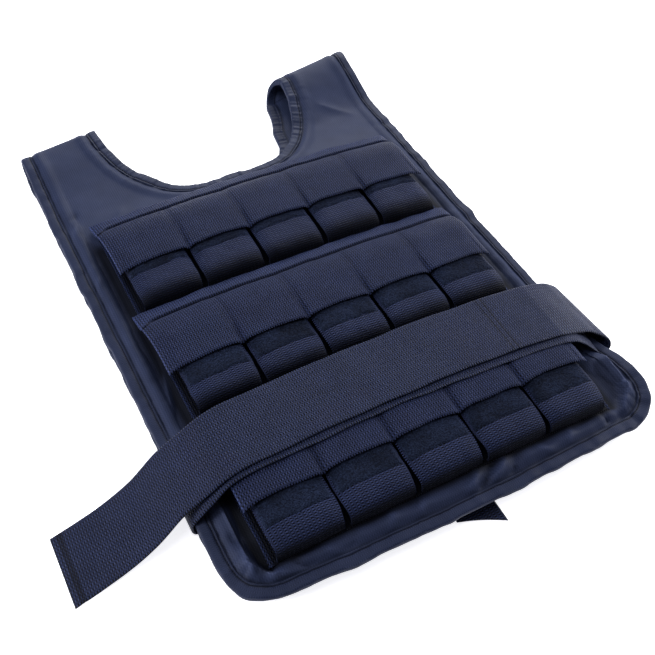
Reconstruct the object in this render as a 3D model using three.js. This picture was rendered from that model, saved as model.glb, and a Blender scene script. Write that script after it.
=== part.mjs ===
// A weighted vest lying on its back, front up, with its belt closed over it.
// Millimetres, +X to the viewer's right, +Y towards the neck, +Z up, floor at z = 0.
// The origin lies on the floor, under the middle of the belt.
import * as THREE from "three";

// Overall outline
const halfWidth = 204;
const hemY = -124;
const hemBulge = 9;
const hemFlare = 16;
const hemFlareY = -31;
const cornerRadius = 42;
const neckCentreX = -3;
const neckHalfWidth = 114;
const neckBottomY = 333;
const backNeckBottomY = 341;
const backHemInset = 8;

// Shoulder folds: where the fold starts at the neck side, how far it has shifted at the outer side,
// its radius, and how far the hidden back strap's neck edge lies inside the front one
const leftShoulder = { neckFoldY: 461, outerShift: -15, foldRadius: 8.5, backNeckInset: 2 };
const rightShoulder = { neckFoldY: 446, outerShift: 19, foldRadius: 13.5, backNeckInset: 27 };
const strapRiseLength = 80;

// Cloth, padding and clearances
const padThickness = 7;
const boundEdgeThickness = 3.4;
const bindingTape = 1.2;
const bindingWidth = 11;
const padTaper = 12;
const gap = 0.3;
const curvedGap = 0.6;
const seamGap = 0.9;
const floorGap = 0.3;

// How the front stands over the back
const crownHeight = 9.5;
const crownPower = 3;
const hemCrownShare = 0.8;
const hemCrownLength = 28;
const neckCrownShare = 0.5;
const neckCrownLength = 48;
const rimCurl = 6;
const rimCurlY = -92;
const rimCurlLength = 60;

// Pockets
const pocketPitch = 66;
const pocketsInRow = 5;
const rowFlapEdgeY = [228, 93.5, -59.6];
const pocketHalfWidth = 31;
const pocketHeight = 19;
const pocketBelowFlap = 44;
const pocketAboveFlap = 73;
const pocketWebbing = 1.7;
const packHalfWidth = 27;
const packClearance = 0.6;
const baseThickness = 1.5;
const baseMargin = 7;
const tapeThickness = 1.0;
const tapeUnderFlap = 12;
const tapeShown = [8, 20, 21];
const flapWebbing = 1.8;
const flapCuts = [0, 30, 50, 59, 67, 72, 78, 86];
const flapOverhang = 4;
const flapNotchDip = 2.2;
const flapArch = 1.6;

// Belt and rear strap
const beltWebbing = 2.2;
const beltWidth = 66;
const beltGap = 0.8;
const beltLiftReach = 165;
const beltSeamX = -70;
const beltWrapOut = 7;
const beltEndX = -314;
const underBeltEndX = 186;
const rearStrapWidth = 40;
const rearStrapX = 12;
const rearStrapShown = 1;
const rearStrapSlant = 17;
const rearStrapHidden = 48;
const rearStrapWebbing = 1.2;

// How far the belt's sampled tables reach from the vest's edges
const beltCentreY = -2;
const underBeltY = -9;
const beltBesideRow = 24;
const beltFallLength = 84;
const underBeltDroop = 5;
const stitchReach = 1;

const nylon = new THREE.MeshStandardMaterial({ color: 0x1b1d26, roughness: 0.72, metalness: 0 });
const tapeNylon = new THREE.MeshStandardMaterial({ color: 0x191b23, roughness: 0.66, metalness: 0 });
const webbing = new THREE.MeshStandardMaterial({ color: 0x20222b, roughness: 0.82, metalness: 0 });
const loopPile = new THREE.MeshStandardMaterial({ color: 0x171922, roughness: 0.95, metalness: 0 });
const packCover = new THREE.MeshStandardMaterial({ color: 0x0f1015, roughness: 0.9, metalness: 0 });

const smooth = (low, high, value) => THREE.MathUtils.smoothstep(value, low, high);
const lerp = THREE.MathUtils.lerp;
const point = (x, y, z) => new THREE.Vector3(x, y, z);

/** Linear reading of a table of [where, value] rows. */
function readTable(table, where) {
  const last = table.length - 1;
  if (where <= table[0][0]) return table[0][1];
  if (where >= table[last][0]) return table[last][1];
  const row = table.findIndex(([start]) => start > where) - 1;
  const [start, from] = table[row];
  const [end, to] = table[row + 1];
  return lerp(from, to, (where - start) / (end - start));
}

/** Volume of a closed indexed surface, negative if its faces point inwards. */
function signedVolume(positions, index) {
  const corner = (i) => point(positions[3 * i], positions[3 * i + 1], positions[3 * i + 2]);
  let sum = 0;
  for (let i = 0; i < index.length; i += 3) {
    const [a, b, c] = [corner(index[i]), corner(index[i + 1]), corner(index[i + 2])];
    sum += a.dot(b.cross(c)) / 6;
  }
  return sum;
}

/** A BufferGeometry from shared points and triangles, with its faces turned outwards. */
function closedGeometry(positions, index) {
  const outward = signedVolume(positions, index) < 0 ? index.slice().reverse() : index;
  const geometry = new THREE.BufferGeometry();
  geometry.setAttribute("position", new THREE.Float32BufferAttribute(positions, 3));
  geometry.setIndex(outward);
  geometry.computeVertexNormals();
  return geometry;
}

/** A closed wall of cloth from rows of [outer point, inner point] pairs; a ringed one joins its ends. */
function wallGeometry(rows, ringed = false) {
  const rowCount = rows.length;
  const columnCount = rows[0].length;
  const positions = rows.flatMap((row) => row.flatMap((pair) => pair.flatMap((p) => p.toArray())));
  const at = (row, column, side) => 2 * ((row % rowCount) * columnCount + column) + side;
  const index = [];
  const corner = (i) => point(positions[3 * i], positions[3 * i + 1], positions[3 * i + 2]);
  const quad = (a, b, c, d) => {
    const firstShorter = corner(a).distanceTo(corner(c)) <= corner(b).distanceTo(corner(d));
    index.push(...(firstShorter ? [a, b, c, a, c, d] : [a, b, d, b, c, d]));
  };
  const stretches = ringed ? rowCount : rowCount - 1;
  const lastColumn = columnCount - 1;
  for (let r = 0; r < stretches; r++) {
    for (let c = 0; c < lastColumn; c++) {
      quad(at(r, c, 0), at(r, c + 1, 0), at(r + 1, c + 1, 0), at(r + 1, c, 0));
      quad(at(r, c, 1), at(r + 1, c, 1), at(r + 1, c + 1, 1), at(r, c + 1, 1));
    }
    quad(at(r, 0, 0), at(r + 1, 0, 0), at(r + 1, 0, 1), at(r, 0, 1));
    quad(at(r, lastColumn, 0), at(r, lastColumn, 1), at(r + 1, lastColumn, 1), at(r + 1, lastColumn, 0));
  }
  if (!ringed) {
    const end = rowCount - 1;
    for (let c = 0; c < lastColumn; c++) {
      quad(at(0, c, 0), at(0, c, 1), at(0, c + 1, 1), at(0, c + 1, 0));
      quad(at(end, c, 0), at(end, c + 1, 0), at(end, c + 1, 1), at(end, c, 1));
    }
  }
  return closedGeometry(positions, index);
}

/** A closed solid skinned through convex sections that all have the same number of points. */
function loftGeometry(sections) {
  const count = sections[0].length;
  const positions = sections.flatMap((section) => section.flatMap((p) => p.toArray()));
  const index = [];
  const at = (section, i) => section * count + (i % count);
  for (let s = 0; s < sections.length - 1; s++) {
    for (let i = 0; i < count; i++) {
      index.push(at(s, i), at(s + 1, i), at(s + 1, i + 1));
      index.push(at(s, i), at(s + 1, i + 1), at(s, i + 1));
    }
  }
  const end = sections.length - 1;
  for (let i = 1; i < count - 1; i++) {
    index.push(at(0, 0), at(0, i), at(0, i + 1));
    index.push(at(end, 0), at(end, i + 1), at(end, i));
  }
  return closedGeometry(positions, index);
}

const vest = new THREE.Group();
vest.name = "weighted_vest";

function addMesh(parent, name, geometry, material) {
  const mesh = new THREE.Mesh(geometry, material);
  mesh.name = name;
  parent.add(mesh);
}

// Heights of the two panels' middle surfaces

const bindingThickness = boundEdgeThickness + 2 * gap + 2 * bindingTape;
const layerPitch = bindingThickness + gap;
const padHalf = padThickness / 2;

/** The back panel lies on the floor, and rises gently where the belt runs under it. */
function backHeight(x, y) {
  const beltEdge = beltWidth / 2;
  const lift = (beltWebbing + gap) * (1 - smooth(beltEdge, beltEdge + beltLiftReach, Math.abs(y)));
  return padHalf + floorGap + lift;
}

const shoulderAt = (x) => (x < neckCentreX ? leftShoulder : rightShoulder);

/** Y of the line along which the strap starts to fold over. */
function foldY(x) {
  const shoulder = shoulderAt(x);
  const across = (Math.abs(x - neckCentreX) - neckHalfWidth) / (halfWidth - neckHalfWidth);
  return shoulder.neckFoldY + shoulder.outerShift * across;
}

/** The stuffed front stands in a low arch over the back, and rises to the shoulder folds. */
function frontHeight(x, y) {
  const across = 1 - Math.pow(Math.min(1, Math.abs(x / halfWidth)), crownPower);
  const nearHem = lerp(hemCrownShare, 1, smooth(hemY, hemY + hemCrownLength, y));
  const nearNeck = lerp(1, neckCrownShare, smooth(pocketTopY, pocketTopY + neckCrownLength, y));
  const edge = backHeight(x, y) + layerPitch;
  const crest = backHeight(x, foldY(x)) + 2 * shoulderAt(x).foldRadius;
  const crown = edge + crownHeight * across * nearHem * nearNeck;
  const rise = smooth(foldY(x) - strapRiseLength, foldY(x), y);
  const intoRim = Math.max(0, 1 - (halfWidth - x) / (bindingWidth + padTaper));
  const curl = rimCurl * intoRim * (1 - smooth(rimCurlY, rimCurlY + rimCurlLength, y));
  return lerp(crown, crest, rise) + curl;
}

const pocketTopY = rowFlapEdgeY[0] + pocketAboveFlap;

/** A place on the cloth: turn 0 is the front, pi the back, and between them the shoulder fold. */
function surface({ x, y, turn }) {
  if (turn === 0) return point(x, y, frontHeight(x, y));
  if (turn === Math.PI) return point(x, y, backHeight(x, y));
  const radius = shoulderAt(x).foldRadius;
  const low = backHeight(x, foldY(x));
  return point(x, foldY(x) + radius * Math.sin(turn), low + radius * (1 + Math.cos(turn)));
}

/** The cloth's outward normal: up on the front, down on the back. */
function outward(place) {
  const { x, y, turn } = place;
  if (turn !== 0) return point(0, Math.sin(turn), Math.cos(turn));
  const step = 0.5;
  const alongX = surface({ x: x + step, y, turn }).sub(surface({ x: x - step, y, turn }));
  const alongY = surface({ x, y: y + step, turn }).sub(surface({ x, y: y - step, turn }));
  return alongX.cross(alongY).normalize();
}

/** The pair of points on both faces of cloth of half thickness `half` at a place. */
function bothFaces(place, half) {
  const middle = surface(place);
  const normal = outward(place);
  return [middle.clone().addScaledVector(normal, half), middle.clone().addScaledVector(normal, -half)];
}

// The outline of the pattern

// Shares of the neck's half width and of its depth, from its lowest point to the shoulder
const neckProfile = [
  { across: 0, up: 0 },
  { across: 0.31, up: 0.005 },
  { across: 0.53, up: 0.07 },
  { across: 0.71, up: 0.23 },
  { across: 0.83, up: 0.4 },
  { across: 0.92, up: 0.6 },
  { across: 0.975, up: 0.8 },
  { across: 1, up: 1 },
];

/** How far the back strap's neck edge lies inside the front one, at a share of the neck's depth. */
const backNeckPull = (shoulder, up) => shoulder.backNeckInset * smooth(0, 0.6, up) * (1 - up / 5);

/** Neck edge from its lowest point (share 0) to the shoulder fold (share 1), on one side. */
function neckEdge(side, share, turn) {
  const shoulder = side < 0 ? leftShoulder : rightShoulder;
  const points = neckProfile.map(({ across, up }) => new THREE.Vector2(across, up));
  const at = new THREE.SplineCurve(points).getPointAt(share);
  const pull = backNeckPull(shoulder, at.y) * (turn / Math.PI);
  const x = neckCentreX + side * (at.x * neckHalfWidth - pull);
  const bottomY = turn === 0 ? neckBottomY : backNeckBottomY;
  return { x, y: lerp(bottomY, foldY(x), at.y), turn };
}

const hemLevelY = (x, hem) => hem - hemBulge * (1 - (x / halfWidth) ** 2);

/** Below the belt the right edge stands out past the width at the belt. */
const edgeFlare = (x, y) => hemFlare * smooth(0, halfWidth, x) * (1 - smooth(rimCurlY, hemFlareY, y));

/** Outer edge from the middle of the hem round the corner and up one side, as a list of points. */
function outerEdge(side, hem) {
  const edge = [];
  const hemStraight = halfWidth - cornerRadius;
  for (const share of [0, 0.36, 0.7, 1]) {
    const x = side * share * hemStraight;
    edge.push({ x, y: hemLevelY(x, hem) });
  }
  const cornerCentreY = hemLevelY(hemStraight, hem) + cornerRadius;
  for (const degrees of [22.5, 45, 67.5, 90]) {
    const angle = THREE.MathUtils.degToRad(degrees);
    const x = side * (hemStraight + cornerRadius * Math.sin(angle));
    edge.push({ x, y: cornerCentreY - cornerRadius * Math.cos(angle) });
  }
  const sideTopY = foldY(side * halfWidth);
  for (const share of sideShares) {
    edge.push({ x: side * halfWidth, y: lerp(cornerCentreY, sideTopY, share) });
  }
  return edge.map(({ x, y }) => ({ x: x + edgeFlare(x, y), y }));
}

// Where the sewing stations lie up each side, as shares of the straight side
const sideShares = [0.05, 0.1, 0.2, 0.33, 0.48, 0.63, 0.75, 0.84, 0.92, 1];

/** Neck station that belongs to each outer station, as a share of the neck edge. */
const neckShares = [
  0, 0.09, 0.17, 0.24, 0.3, 0.36, 0.41, 0.45, 0.5,
  0.54, 0.59, 0.65, 0.71, 0.77, 0.83, 0.89, 0.945, 1,
];

/** Turns of the shoulder fold from the front to the seam. */
function foldTurns(radius) {
  return [0.25 * Math.PI, 0.5 * Math.PI, 0.75 * Math.PI, Math.PI - seamGap / radius];
}

/** Stations of one leaf from the left shoulder to the right one: pairs of neck and outer places. */
function leafStations(turn, hem) {
  const oneSide = (side) => {
    const shoulder = side < 0 ? leftShoulder : rightShoulder;
    const outer = outerEdge(side, hem);
    const stations = outer.map((place, i) => ({
      neck: neckEdge(side, neckShares[i], turn),
      outer: { ...place, turn },
    }));
    if (turn !== 0) return stations;
    const topOuter = outer[outer.length - 1];
    const folded = foldTurns(shoulder.foldRadius).map((angle) => ({
      neck: neckEdge(side, 1, angle),
      outer: { ...topOuter, turn: angle },
    }));
    return [...stations, ...folded];
  };
  const left = oneSide(-1).reverse();
  const right = oneSide(1).slice(1);
  return [...left, ...right];
}

/** Unit vectors that point from an edge into the cloth, in the pattern's plane. */
function inwardVectors(edge, towards) {
  return edge.map((place, i) => {
    const inner = new THREE.Vector2(towards[i].x - place.x, towards[i].y - place.y).normalize();
    const before = edge[i - 1];
    const after = edge[i + 1];
    const onFlatLeaf = before?.turn === place.turn && after?.turn === place.turn;
    if (!onFlatLeaf) return inner;
    const along = new THREE.Vector2(after.x - before.x, after.y - before.y).normalize();
    const normal = new THREE.Vector2(-along.y, along.x);
    return normal.dot(inner) < 0 ? normal.negate() : normal;
  });
}

const moved = (place, vector, distance) => ({
  x: place.x + vector.x * distance,
  y: place.y + vector.y * distance,
  turn: place.turn,
});

/** One station's edges with the directions that lead into the cloth. */
function dressedStations(stations) {
  const neck = stations.map((station) => station.neck);
  const outer = stations.map((station) => station.outer);
  const neckInward = inwardVectors(neck, outer);
  const outerInward = inwardVectors(outer, neck);
  return stations.map((station, i) => ({
    ...station,
    neckInward: neckInward[i],
    outerInward: outerInward[i],
  }));
}

const interiorShares = [0.14, 0.3, 0.46, 0.62, 0.78, 0.9];

/** A panel's rows of face pairs: thin where it is bound, thick where it is padded. */
function panelRows(stations) {
  return stations.map(({ neck, outer, neckInward, outerInward }) => {
    const boundHalf = boundEdgeThickness / 2;
    const padIn = bindingWidth + padTaper;
    const neckPad = moved(neck, neckInward, padIn);
    const outerPad = moved(outer, outerInward, padIn);
    const inside = interiorShares.map((share) => ({
      x: lerp(neckPad.x, outerPad.x, share),
      y: lerp(neckPad.y, outerPad.y, share),
      turn: neck.turn,
    }));
    return [
      bothFaces(neck, boundHalf),
      bothFaces(moved(neck, neckInward, bindingWidth), boundHalf),
      ...[neckPad, ...inside, outerPad].map((place) => bothFaces(place, padHalf)),
      bothFaces(moved(outer, outerInward, bindingWidth), boundHalf),
      bothFaces(outer, boundHalf),
    ];
  });
}

/** A tape folded round an edge: rows of face pairs of its C-shaped section. */
function bindingRow(place, inward) {
  const tapeOut = bindingThickness / 2;
  const tapeIn = tapeOut - bindingTape;
  const reach = bindingWidth - stitchReach;
  const shape = (distance, height) => {
    const base = moved(place, inward, distance);
    return surface(base).addScaledVector(outward(base), height);
  };
  return [
    [shape(reach, tapeOut), shape(reach, tapeIn)],
    [shape(-gap - bindingTape, tapeOut), shape(-gap, tapeIn)],
    [shape(-gap - bindingTape, -tapeOut), shape(-gap, -tapeIn)],
    [shape(reach, -tapeOut), shape(reach, -tapeIn)],
  ];
}

const frontStations = dressedStations(leafStations(0, hemY));
const backStations = dressedStations(leafStations(Math.PI, hemY + backHemInset));
const panels = new THREE.Group();
addMesh(panels, "front_panel", wallGeometry(panelRows(frontStations)), nylon);
addMesh(panels, "back_panel", wallGeometry(panelRows(backStations)), nylon);
const loop = [...frontStations, ...backStations.slice().reverse()];
const outerLoop = loop.map(({ outer, outerInward }) => bindingRow(outer, outerInward));
const neckLoop = loop.map(({ neck, neckInward }) => bindingRow(neck, neckInward));
addMesh(panels, "binding_outer", wallGeometry(outerLoop, true), tapeNylon);
addMesh(panels, "binding_neck", wallGeometry(neckLoop, true), tapeNylon);
vest.add(panels);

// Pocket rows

// Height of a pocket along Y, from its lower end to its upper one, as shares of its height
const pocketLength = [
  { below: 1, rise: 0.04 },
  { below: 0.97, rise: 0.45 },
  { below: 0.86, rise: 0.74 },
  { below: 0.66, rise: 0.92 },
  { below: 0.42, rise: 0.99 },
  { below: 0, rise: 1 },
  { above: 0.68, rise: 1 },
  { above: 0.81, rise: 0.93 },
  { above: 0.92, rise: 0.83 },
  { above: 0.985, rise: 0.5 },
  { above: 1, rise: 0.04 },
];
// Height of a pocket across its width, as shares of the height at its middle
const shoulderShare = 0.76;
const pocketAcross = [
  { share: -1, rise: 0.8 },
  { share: -shoulderShare, rise: 1 },
  { share: shoulderShare, rise: 1 },
  { share: 1, rise: 0.8 },
];

const lengthOffset = ({ below = 0, above = 0 }) => above * pocketAboveFlap - below * pocketBelowFlap;
const riseTable = pocketLength.map((row) => [lengthOffset(row), row.rise]);
const acrossTable = pocketAcross.map(({ share, rise }) => [share, rise]);

const panelTop = (x, y) => frontHeight(x, y) + padHalf;
const baseTop = curvedGap + baseThickness;

/** Outer height of a pocket face over the panel, at an offset from the pocket's middle and flap edge. */
function pocketRise(acrossShare, alongOffset) {
  const rise = readTable(riseTable, alongOffset) * readTable(acrossTable, acrossShare);
  return baseTop + (pocketHeight - baseTop) * rise;
}

/** Inward direction of the pocket face in the Y-Z plane at a row of its length table. */
function pocketInward(row) {
  const before = pocketLength[Math.max(0, row - 1)];
  const after = pocketLength[Math.min(pocketLength.length - 1, row + 1)];
  const run = lengthOffset(after) - lengthOffset(before);
  const climb = (after.rise - before.rise) * pocketHeight;
  return point(0, climb, -run).normalize();
}

function pocketFace(centreX, flapY) {
  const rows = pocketLength.map((entry, i) => {
    const along = lengthOffset(entry);
    const inward = pocketInward(i).multiplyScalar(pocketWebbing);
    return pocketAcross.map(({ share }) => {
      const x = centreX + share * pocketHalfWidth;
      const base = panelTop(x, flapY + along);
      const outer = point(x, flapY + along, base + pocketRise(share, along) + gap);
      const inner = outer.clone().add(inward);
      inner.z = Math.max(inner.z, base + baseTop + gap);
      return [outer, inner];
    });
  });
  return wallGeometry(rows);
}

// A pack's section: shares of its half width and of its height
const packSection = [
  { across: -1, up: 0 },
  { across: 1, up: 0 },
  { across: 1, up: 0.78 },
  { across: 0.8, up: 0.97 },
  { across: -0.8, up: 0.97 },
  { across: -1, up: 0.78 },
];
// Where a pack's sections lie, and how high each is
const packLength = [
  { below: 0.8, height: 0.55 },
  { below: 0.62, height: 0.82 },
  { below: 0.4, height: 0.97 },
  { above: 0.62, height: 1 },
  { above: 0.78, height: 0.85 },
];

function weightPack(centreX, flapY) {
  const low = baseTop + packClearance;
  const high = pocketHeight - pocketWebbing - packClearance;
  const sections = packLength.map((entry) => packSection.map(({ across, up }) => {
    const x = centreX + across * packHalfWidth;
    const y = flapY + lengthOffset(entry);
    return point(x, y, panelTop(x, y) + lerp(low, high, up * entry.height));
  }));
  return loftGeometry(sections);
}

/** Loop tape sewn on the pocket face, partly under the flap. */
function loopTape(centreX, flapY, shown) {
  const shares = [-shoulderShare, shoulderShare];
  const rows = [-shown, 0, tapeUnderFlap].map((along) => shares.map((share) => {
    const x = centreX + share * pocketHalfWidth;
    const low = panelTop(x, flapY + along) + pocketRise(share, along) + 2 * gap;
    return [point(x, flapY + along, low + tapeThickness), point(x, flapY + along, low)];
  }));
  return wallGeometry(rows);
}

const rowHalfLength = (pocketsInRow * pocketPitch) / 2;
const pocketSteps = Array.from({ length: pocketsInRow }, (_, i) => i - (pocketsInRow - 1) / 2);
const pocketCentres = pocketSteps.map((step) => step * pocketPitch);

/** X positions of a flap's columns: it dips between the pockets and hangs a little past the row. */
function flapColumns() {
  const notch = (x) => ({ x, share: 1, dip: flapNotchDip });
  const columns = [notch(-rowHalfLength - flapOverhang)];
  pocketCentres.forEach((centreX, i) => {
    for (const share of [-shoulderShare, shoulderShare]) {
      columns.push({ x: centreX + share * pocketHalfWidth, share, dip: 0 });
    }
    if (i < pocketsInRow - 1) columns.push(notch(centreX + pocketPitch / 2));
  });
  columns.push(notch(rowHalfLength + flapOverhang));
  return columns;
}

const flapLift = 3 * gap + tapeThickness;

function flapGeometry(flapY) {
  const rows = flapColumns().map(({ x, share, dip }) => flapCuts.map((along) => {
    const arch = along === 0 && dip === 0 ? flapArch : 0;
    const low = panelTop(x, flapY + along) + pocketRise(share, along) + gap + flapLift - dip;
    const y = flapY + along + arch;
    return [point(x, y, low + flapWebbing), point(x, y, low)];
  }));
  return wallGeometry(rows);
}

/** The webbing that a row of pockets is sewn on, laid over the crowned panel. */
function pocketBase(flapY) {
  const reach = rowHalfLength + baseMargin;
  const stretches = 2 * (pocketsInRow - 1);
  const columns = Array.from({ length: stretches + 1 }, (_, i) => lerp(-reach, reach, i / stretches));
  const lowEnd = -pocketBelowFlap - stitchReach;
  const highEnd = pocketAboveFlap + stitchReach;
  const alongs = [lowEnd, lowEnd / 2, 0, highEnd / 2, highEnd];
  const rows = columns.map((x) => alongs.map((along) => {
    const low = panelTop(x, flapY + along) + curvedGap;
    return [point(x, flapY + along, low + baseThickness), point(x, flapY + along, low)];
  }));
  return wallGeometry(rows);
}

rowFlapEdgeY.forEach((flapY, row) => {
  const pocketRow = new THREE.Group();
  addMesh(pocketRow, `pocket_base_${row + 1}`, pocketBase(flapY), webbing);
  pocketCentres.forEach((centreX, i) => {
    const label = `${row + 1}_${i + 1}`;
    addMesh(pocketRow, `pocket_face_${label}`, pocketFace(centreX, flapY), webbing);
    addMesh(pocketRow, `weight_${label}`, weightPack(centreX, flapY), packCover);
    addMesh(pocketRow, `loop_tape_${label}`, loopTape(centreX, flapY, tapeShown[row]), loopPile);
  });
  addMesh(pocketRow, `flap_${row + 1}`, flapGeometry(flapY), webbing);
  vest.add(pocketRow);
});

// Belt

const flapTop = (x) => panelTop(x, 0) + pocketHeight + gap + flapLift + flapWebbing;
const underBeltZ = (x) => flapTop(x) + beltGap + beltWebbing / 2;
const overBeltZ = (x) => underBeltZ(x) + beltWebbing + beltGap;
const floorBeltZ = beltWebbing / 2;
const wrapX = halfWidth + beltWrapOut;

// Middle line of the belt that comes round the right edge: a height is a share of the belt's height
// at the end of the pocket row
const overWrap = [
  { x: beltSeamX, y: beltCentreY, rise: 0 },
  { x: halfWidth * 0.4, y: beltCentreY, rise: 0 },
  { x: halfWidth - 16, y: beltCentreY, rise: 0 },
  { x: halfWidth - 4, y: beltCentreY, rise: 0 },
  { x: halfWidth + 3, y: beltCentreY, rise: 0.015 },
  { x: wrapX + 1.5, y: beltCentreY, rise: 0.08 },
  { x: wrapX + 4, y: beltCentreY, rise: 0.2 },
  { x: wrapX + 4, y: -1, rise: 0.39 },
  { x: wrapX - 1, y: 0, rise: 0.62 },
  { x: wrapX - 11, y: 1, rise: 0.81 },
  { x: wrapX - 26, y: 2, rise: 0.94 },
];
const overFall = [
  { x: -rowHalfLength - beltBesideRow, y: 0, rise: 0.78 },
  { x: -wrapX + 1, y: beltCentreY, rise: 0.56 },
  { x: -wrapX - 29, y: -11, rise: 0.27 },
  { x: -wrapX - 59, y: -17, rise: 0.08 },
  { x: -wrapX - beltFallLength, y: -21, rise: 0 },
  { x: beltEndX, y: -25, rise: 0 },
];
const underWrap = [
  { x: beltSeamX - seamGap, y: -5, rise: 0 },
  { x: -halfWidth * 0.7, y: -7, rise: 0 },
  { x: -halfWidth + 16, y: underBeltY, rise: 0 },
  { x: -halfWidth + 4, y: underBeltY, rise: 0 },
  { x: -halfWidth - 2, y: underBeltY, rise: 0.01 },
  { x: -halfWidth - 4, y: underBeltY, rise: 0.07 },
  { x: -halfWidth - 4.5, y: underBeltY, rise: 0.2 },
  { x: -halfWidth - 3.5, y: underBeltY, rise: 0.36 },
  { x: -halfWidth + 3, y: underBeltY, rise: 0.53 },
  { x: -rowHalfLength - beltBesideRow + 2, y: -7, rise: 0.76 },
];

/** Points of the middle line from a table, between the floor and the height over the row's end. */
function beltPoints(table, topZ) {
  return table.map(({ x, y, rise }) => point(x, y, lerp(floorBeltZ, topZ, rise)));
}

/** Points of the middle line over the pockets, from one X to another. */
function acrossPockets(fromX, toX, heightAt, centreY) {
  const shares = [0, 0.25, 0.5, 0.75, 1];
  return shares.map((share) => {
    const x = lerp(fromX, toX, share);
    return point(x, centreY(share), heightAt(x));
  });
}

/** A flat strap along a middle line, with its width along Y. */
function strapGeometry(points, samplesPerPoint) {
  const curve = new THREE.CatmullRomCurve3(points, false, "centripetal");
  const count = (points.length - 1) * samplesPerPoint;
  const rows = Array.from({ length: count + 1 }, (_, i) => {
    const middle = curve.getPoint(i / count);
    const tangent = curve.getTangent(i / count);
    middle.z = Math.max(middle.z, floorBeltZ);
    const normal = point(tangent.z, 0, -tangent.x).normalize().multiplyScalar(beltWebbing / 2);
    return [-beltWidth / 2, beltWidth / 2].map((across) => {
      const edge = middle.clone().add(point(0, across, 0));
      return [edge.clone().add(normal), edge.clone().sub(normal)];
    });
  });
  return wallGeometry(rows);
}

const belt = new THREE.Group();
const overTop = overBeltZ(rowHalfLength);
const overLine = [
  ...beltPoints(overWrap, overTop),
  ...acrossPockets(rowHalfLength, -rowHalfLength, overBeltZ, (share) => 2 + 4 * Math.sin(Math.PI * share)),
  ...beltPoints(overFall, overTop),
];
const underTop = underBeltZ(rowHalfLength);
const underLine = [
  ...beltPoints(underWrap, underTop),
  ...acrossPockets(-rowHalfLength, rowHalfLength, underBeltZ, (share) => lerp(-3, -11, share ** 2)),
  point(underBeltEndX, -14, underTop - underBeltDroop),
];
addMesh(belt, "belt_over", strapGeometry(overLine, 2), webbing);
addMesh(belt, "belt_under", strapGeometry(underLine, 2), webbing);

/** The strap end that shows past the hem, cut at a slant. */
function rearStrapGeometry() {
  const hiddenY = hemY + rearStrapHidden;
  const rows = [-1, 1].map((side) => {
    const x = rearStrapX + (side * rearStrapWidth) / 2;
    const endY = hemY - hemBulge - rearStrapShown / 2 - (side * rearStrapSlant) / 2;
    return [hiddenY, endY].map((y) => [point(x, y, rearStrapWebbing), point(x, y, 0)]);
  });
  return wallGeometry(rows);
}
addMesh(belt, "rear_strap", rearStrapGeometry(), webbing);
vest.add(belt);

export default vest;
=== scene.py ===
"""Dresses a weighted vest that lies on its back, front up, with its belt closed over it.

The shapes are worked out in millimetres on the same named sizes as the solids, and every mesh is
made in metres, in the same frame: +X to the viewer's right, +Y towards the neck, +Z up.
"""

import logging
import math
from dataclasses import dataclass, field
from enum import Enum

import bpy
import numpy as np
from mathutils import Euler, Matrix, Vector


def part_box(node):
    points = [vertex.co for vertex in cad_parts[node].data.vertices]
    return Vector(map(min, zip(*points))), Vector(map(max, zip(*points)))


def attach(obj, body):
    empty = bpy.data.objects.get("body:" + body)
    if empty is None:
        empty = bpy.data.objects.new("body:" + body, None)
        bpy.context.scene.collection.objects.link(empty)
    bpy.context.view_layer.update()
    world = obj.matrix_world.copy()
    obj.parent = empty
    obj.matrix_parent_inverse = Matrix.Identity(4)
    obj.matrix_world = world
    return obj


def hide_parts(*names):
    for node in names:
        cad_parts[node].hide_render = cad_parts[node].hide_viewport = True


LOG = logging.getLogger("vest")
MM = 0.001
BODY = "root"

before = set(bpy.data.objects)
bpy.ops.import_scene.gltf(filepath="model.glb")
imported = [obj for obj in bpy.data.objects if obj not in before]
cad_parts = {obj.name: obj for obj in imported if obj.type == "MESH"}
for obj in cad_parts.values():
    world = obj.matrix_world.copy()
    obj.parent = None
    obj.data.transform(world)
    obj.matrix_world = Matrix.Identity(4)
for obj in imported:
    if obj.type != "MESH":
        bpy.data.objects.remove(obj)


class Slot(Enum):
    """Material slots of the record."""

    PANEL = "panel_nylon"
    BINDING = "binding_tape"
    WEBBING = "webbing"
    PILE = "loop_pile"
    PACK = "pack_cover"


class Hold(Enum):
    """How a sheet is held."""

    LAID = "laid"
    FOLDED = "folded"
    STRETCHED = "stretched"


def smooth(low: float, high: float, value: np.ndarray) -> np.ndarray:
    """Ease from 0 at low to 1 at high."""
    share = np.clip((value - low) / (high - low), 0.0, 1.0)
    return share * share * (3.0 - 2.0 * share)


def hump(value: np.ndarray, centre: float, width: float) -> np.ndarray:
    """A bell of height 1 round a centre."""
    return np.exp(-(((value - centre) / width) ** 2))


def mix(low: np.ndarray, high: np.ndarray, share: np.ndarray) -> np.ndarray:
    """Linear blend."""
    return low + (high - low) * share


@dataclass
class Ripple:
    """Smooth, repeatable unevenness: a sum of waves in seeded directions.

    Args:
        seed: picks the directions and phases.
        length: mean wave length in millimetres.
        waves: how many waves are summed.
    """

    seed: int
    length: float
    waves: int = 9

    def __call__(self, x: np.ndarray, y: np.ndarray) -> np.ndarray:
        """The unevenness at each place.

        Args:
            x, y: places in millimetres.

        Returns:
            Height between about -1 and 1.
        """
        dice = np.random.default_rng(self.seed)
        total = np.zeros(np.broadcast(x, y).shape)
        for _ in range(self.waves):
            angle = dice.uniform(0.0, 2.0 * math.pi)
            pace = 2.0 * math.pi / (self.length * dice.uniform(0.6, 1.7))
            turn = dice.uniform(0.0, 2.0 * math.pi)
            total = total + np.sin(pace * (x * math.cos(angle) + y * math.sin(angle)) + turn)
        return total / (1.6 * math.sqrt(self.waves))


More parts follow.
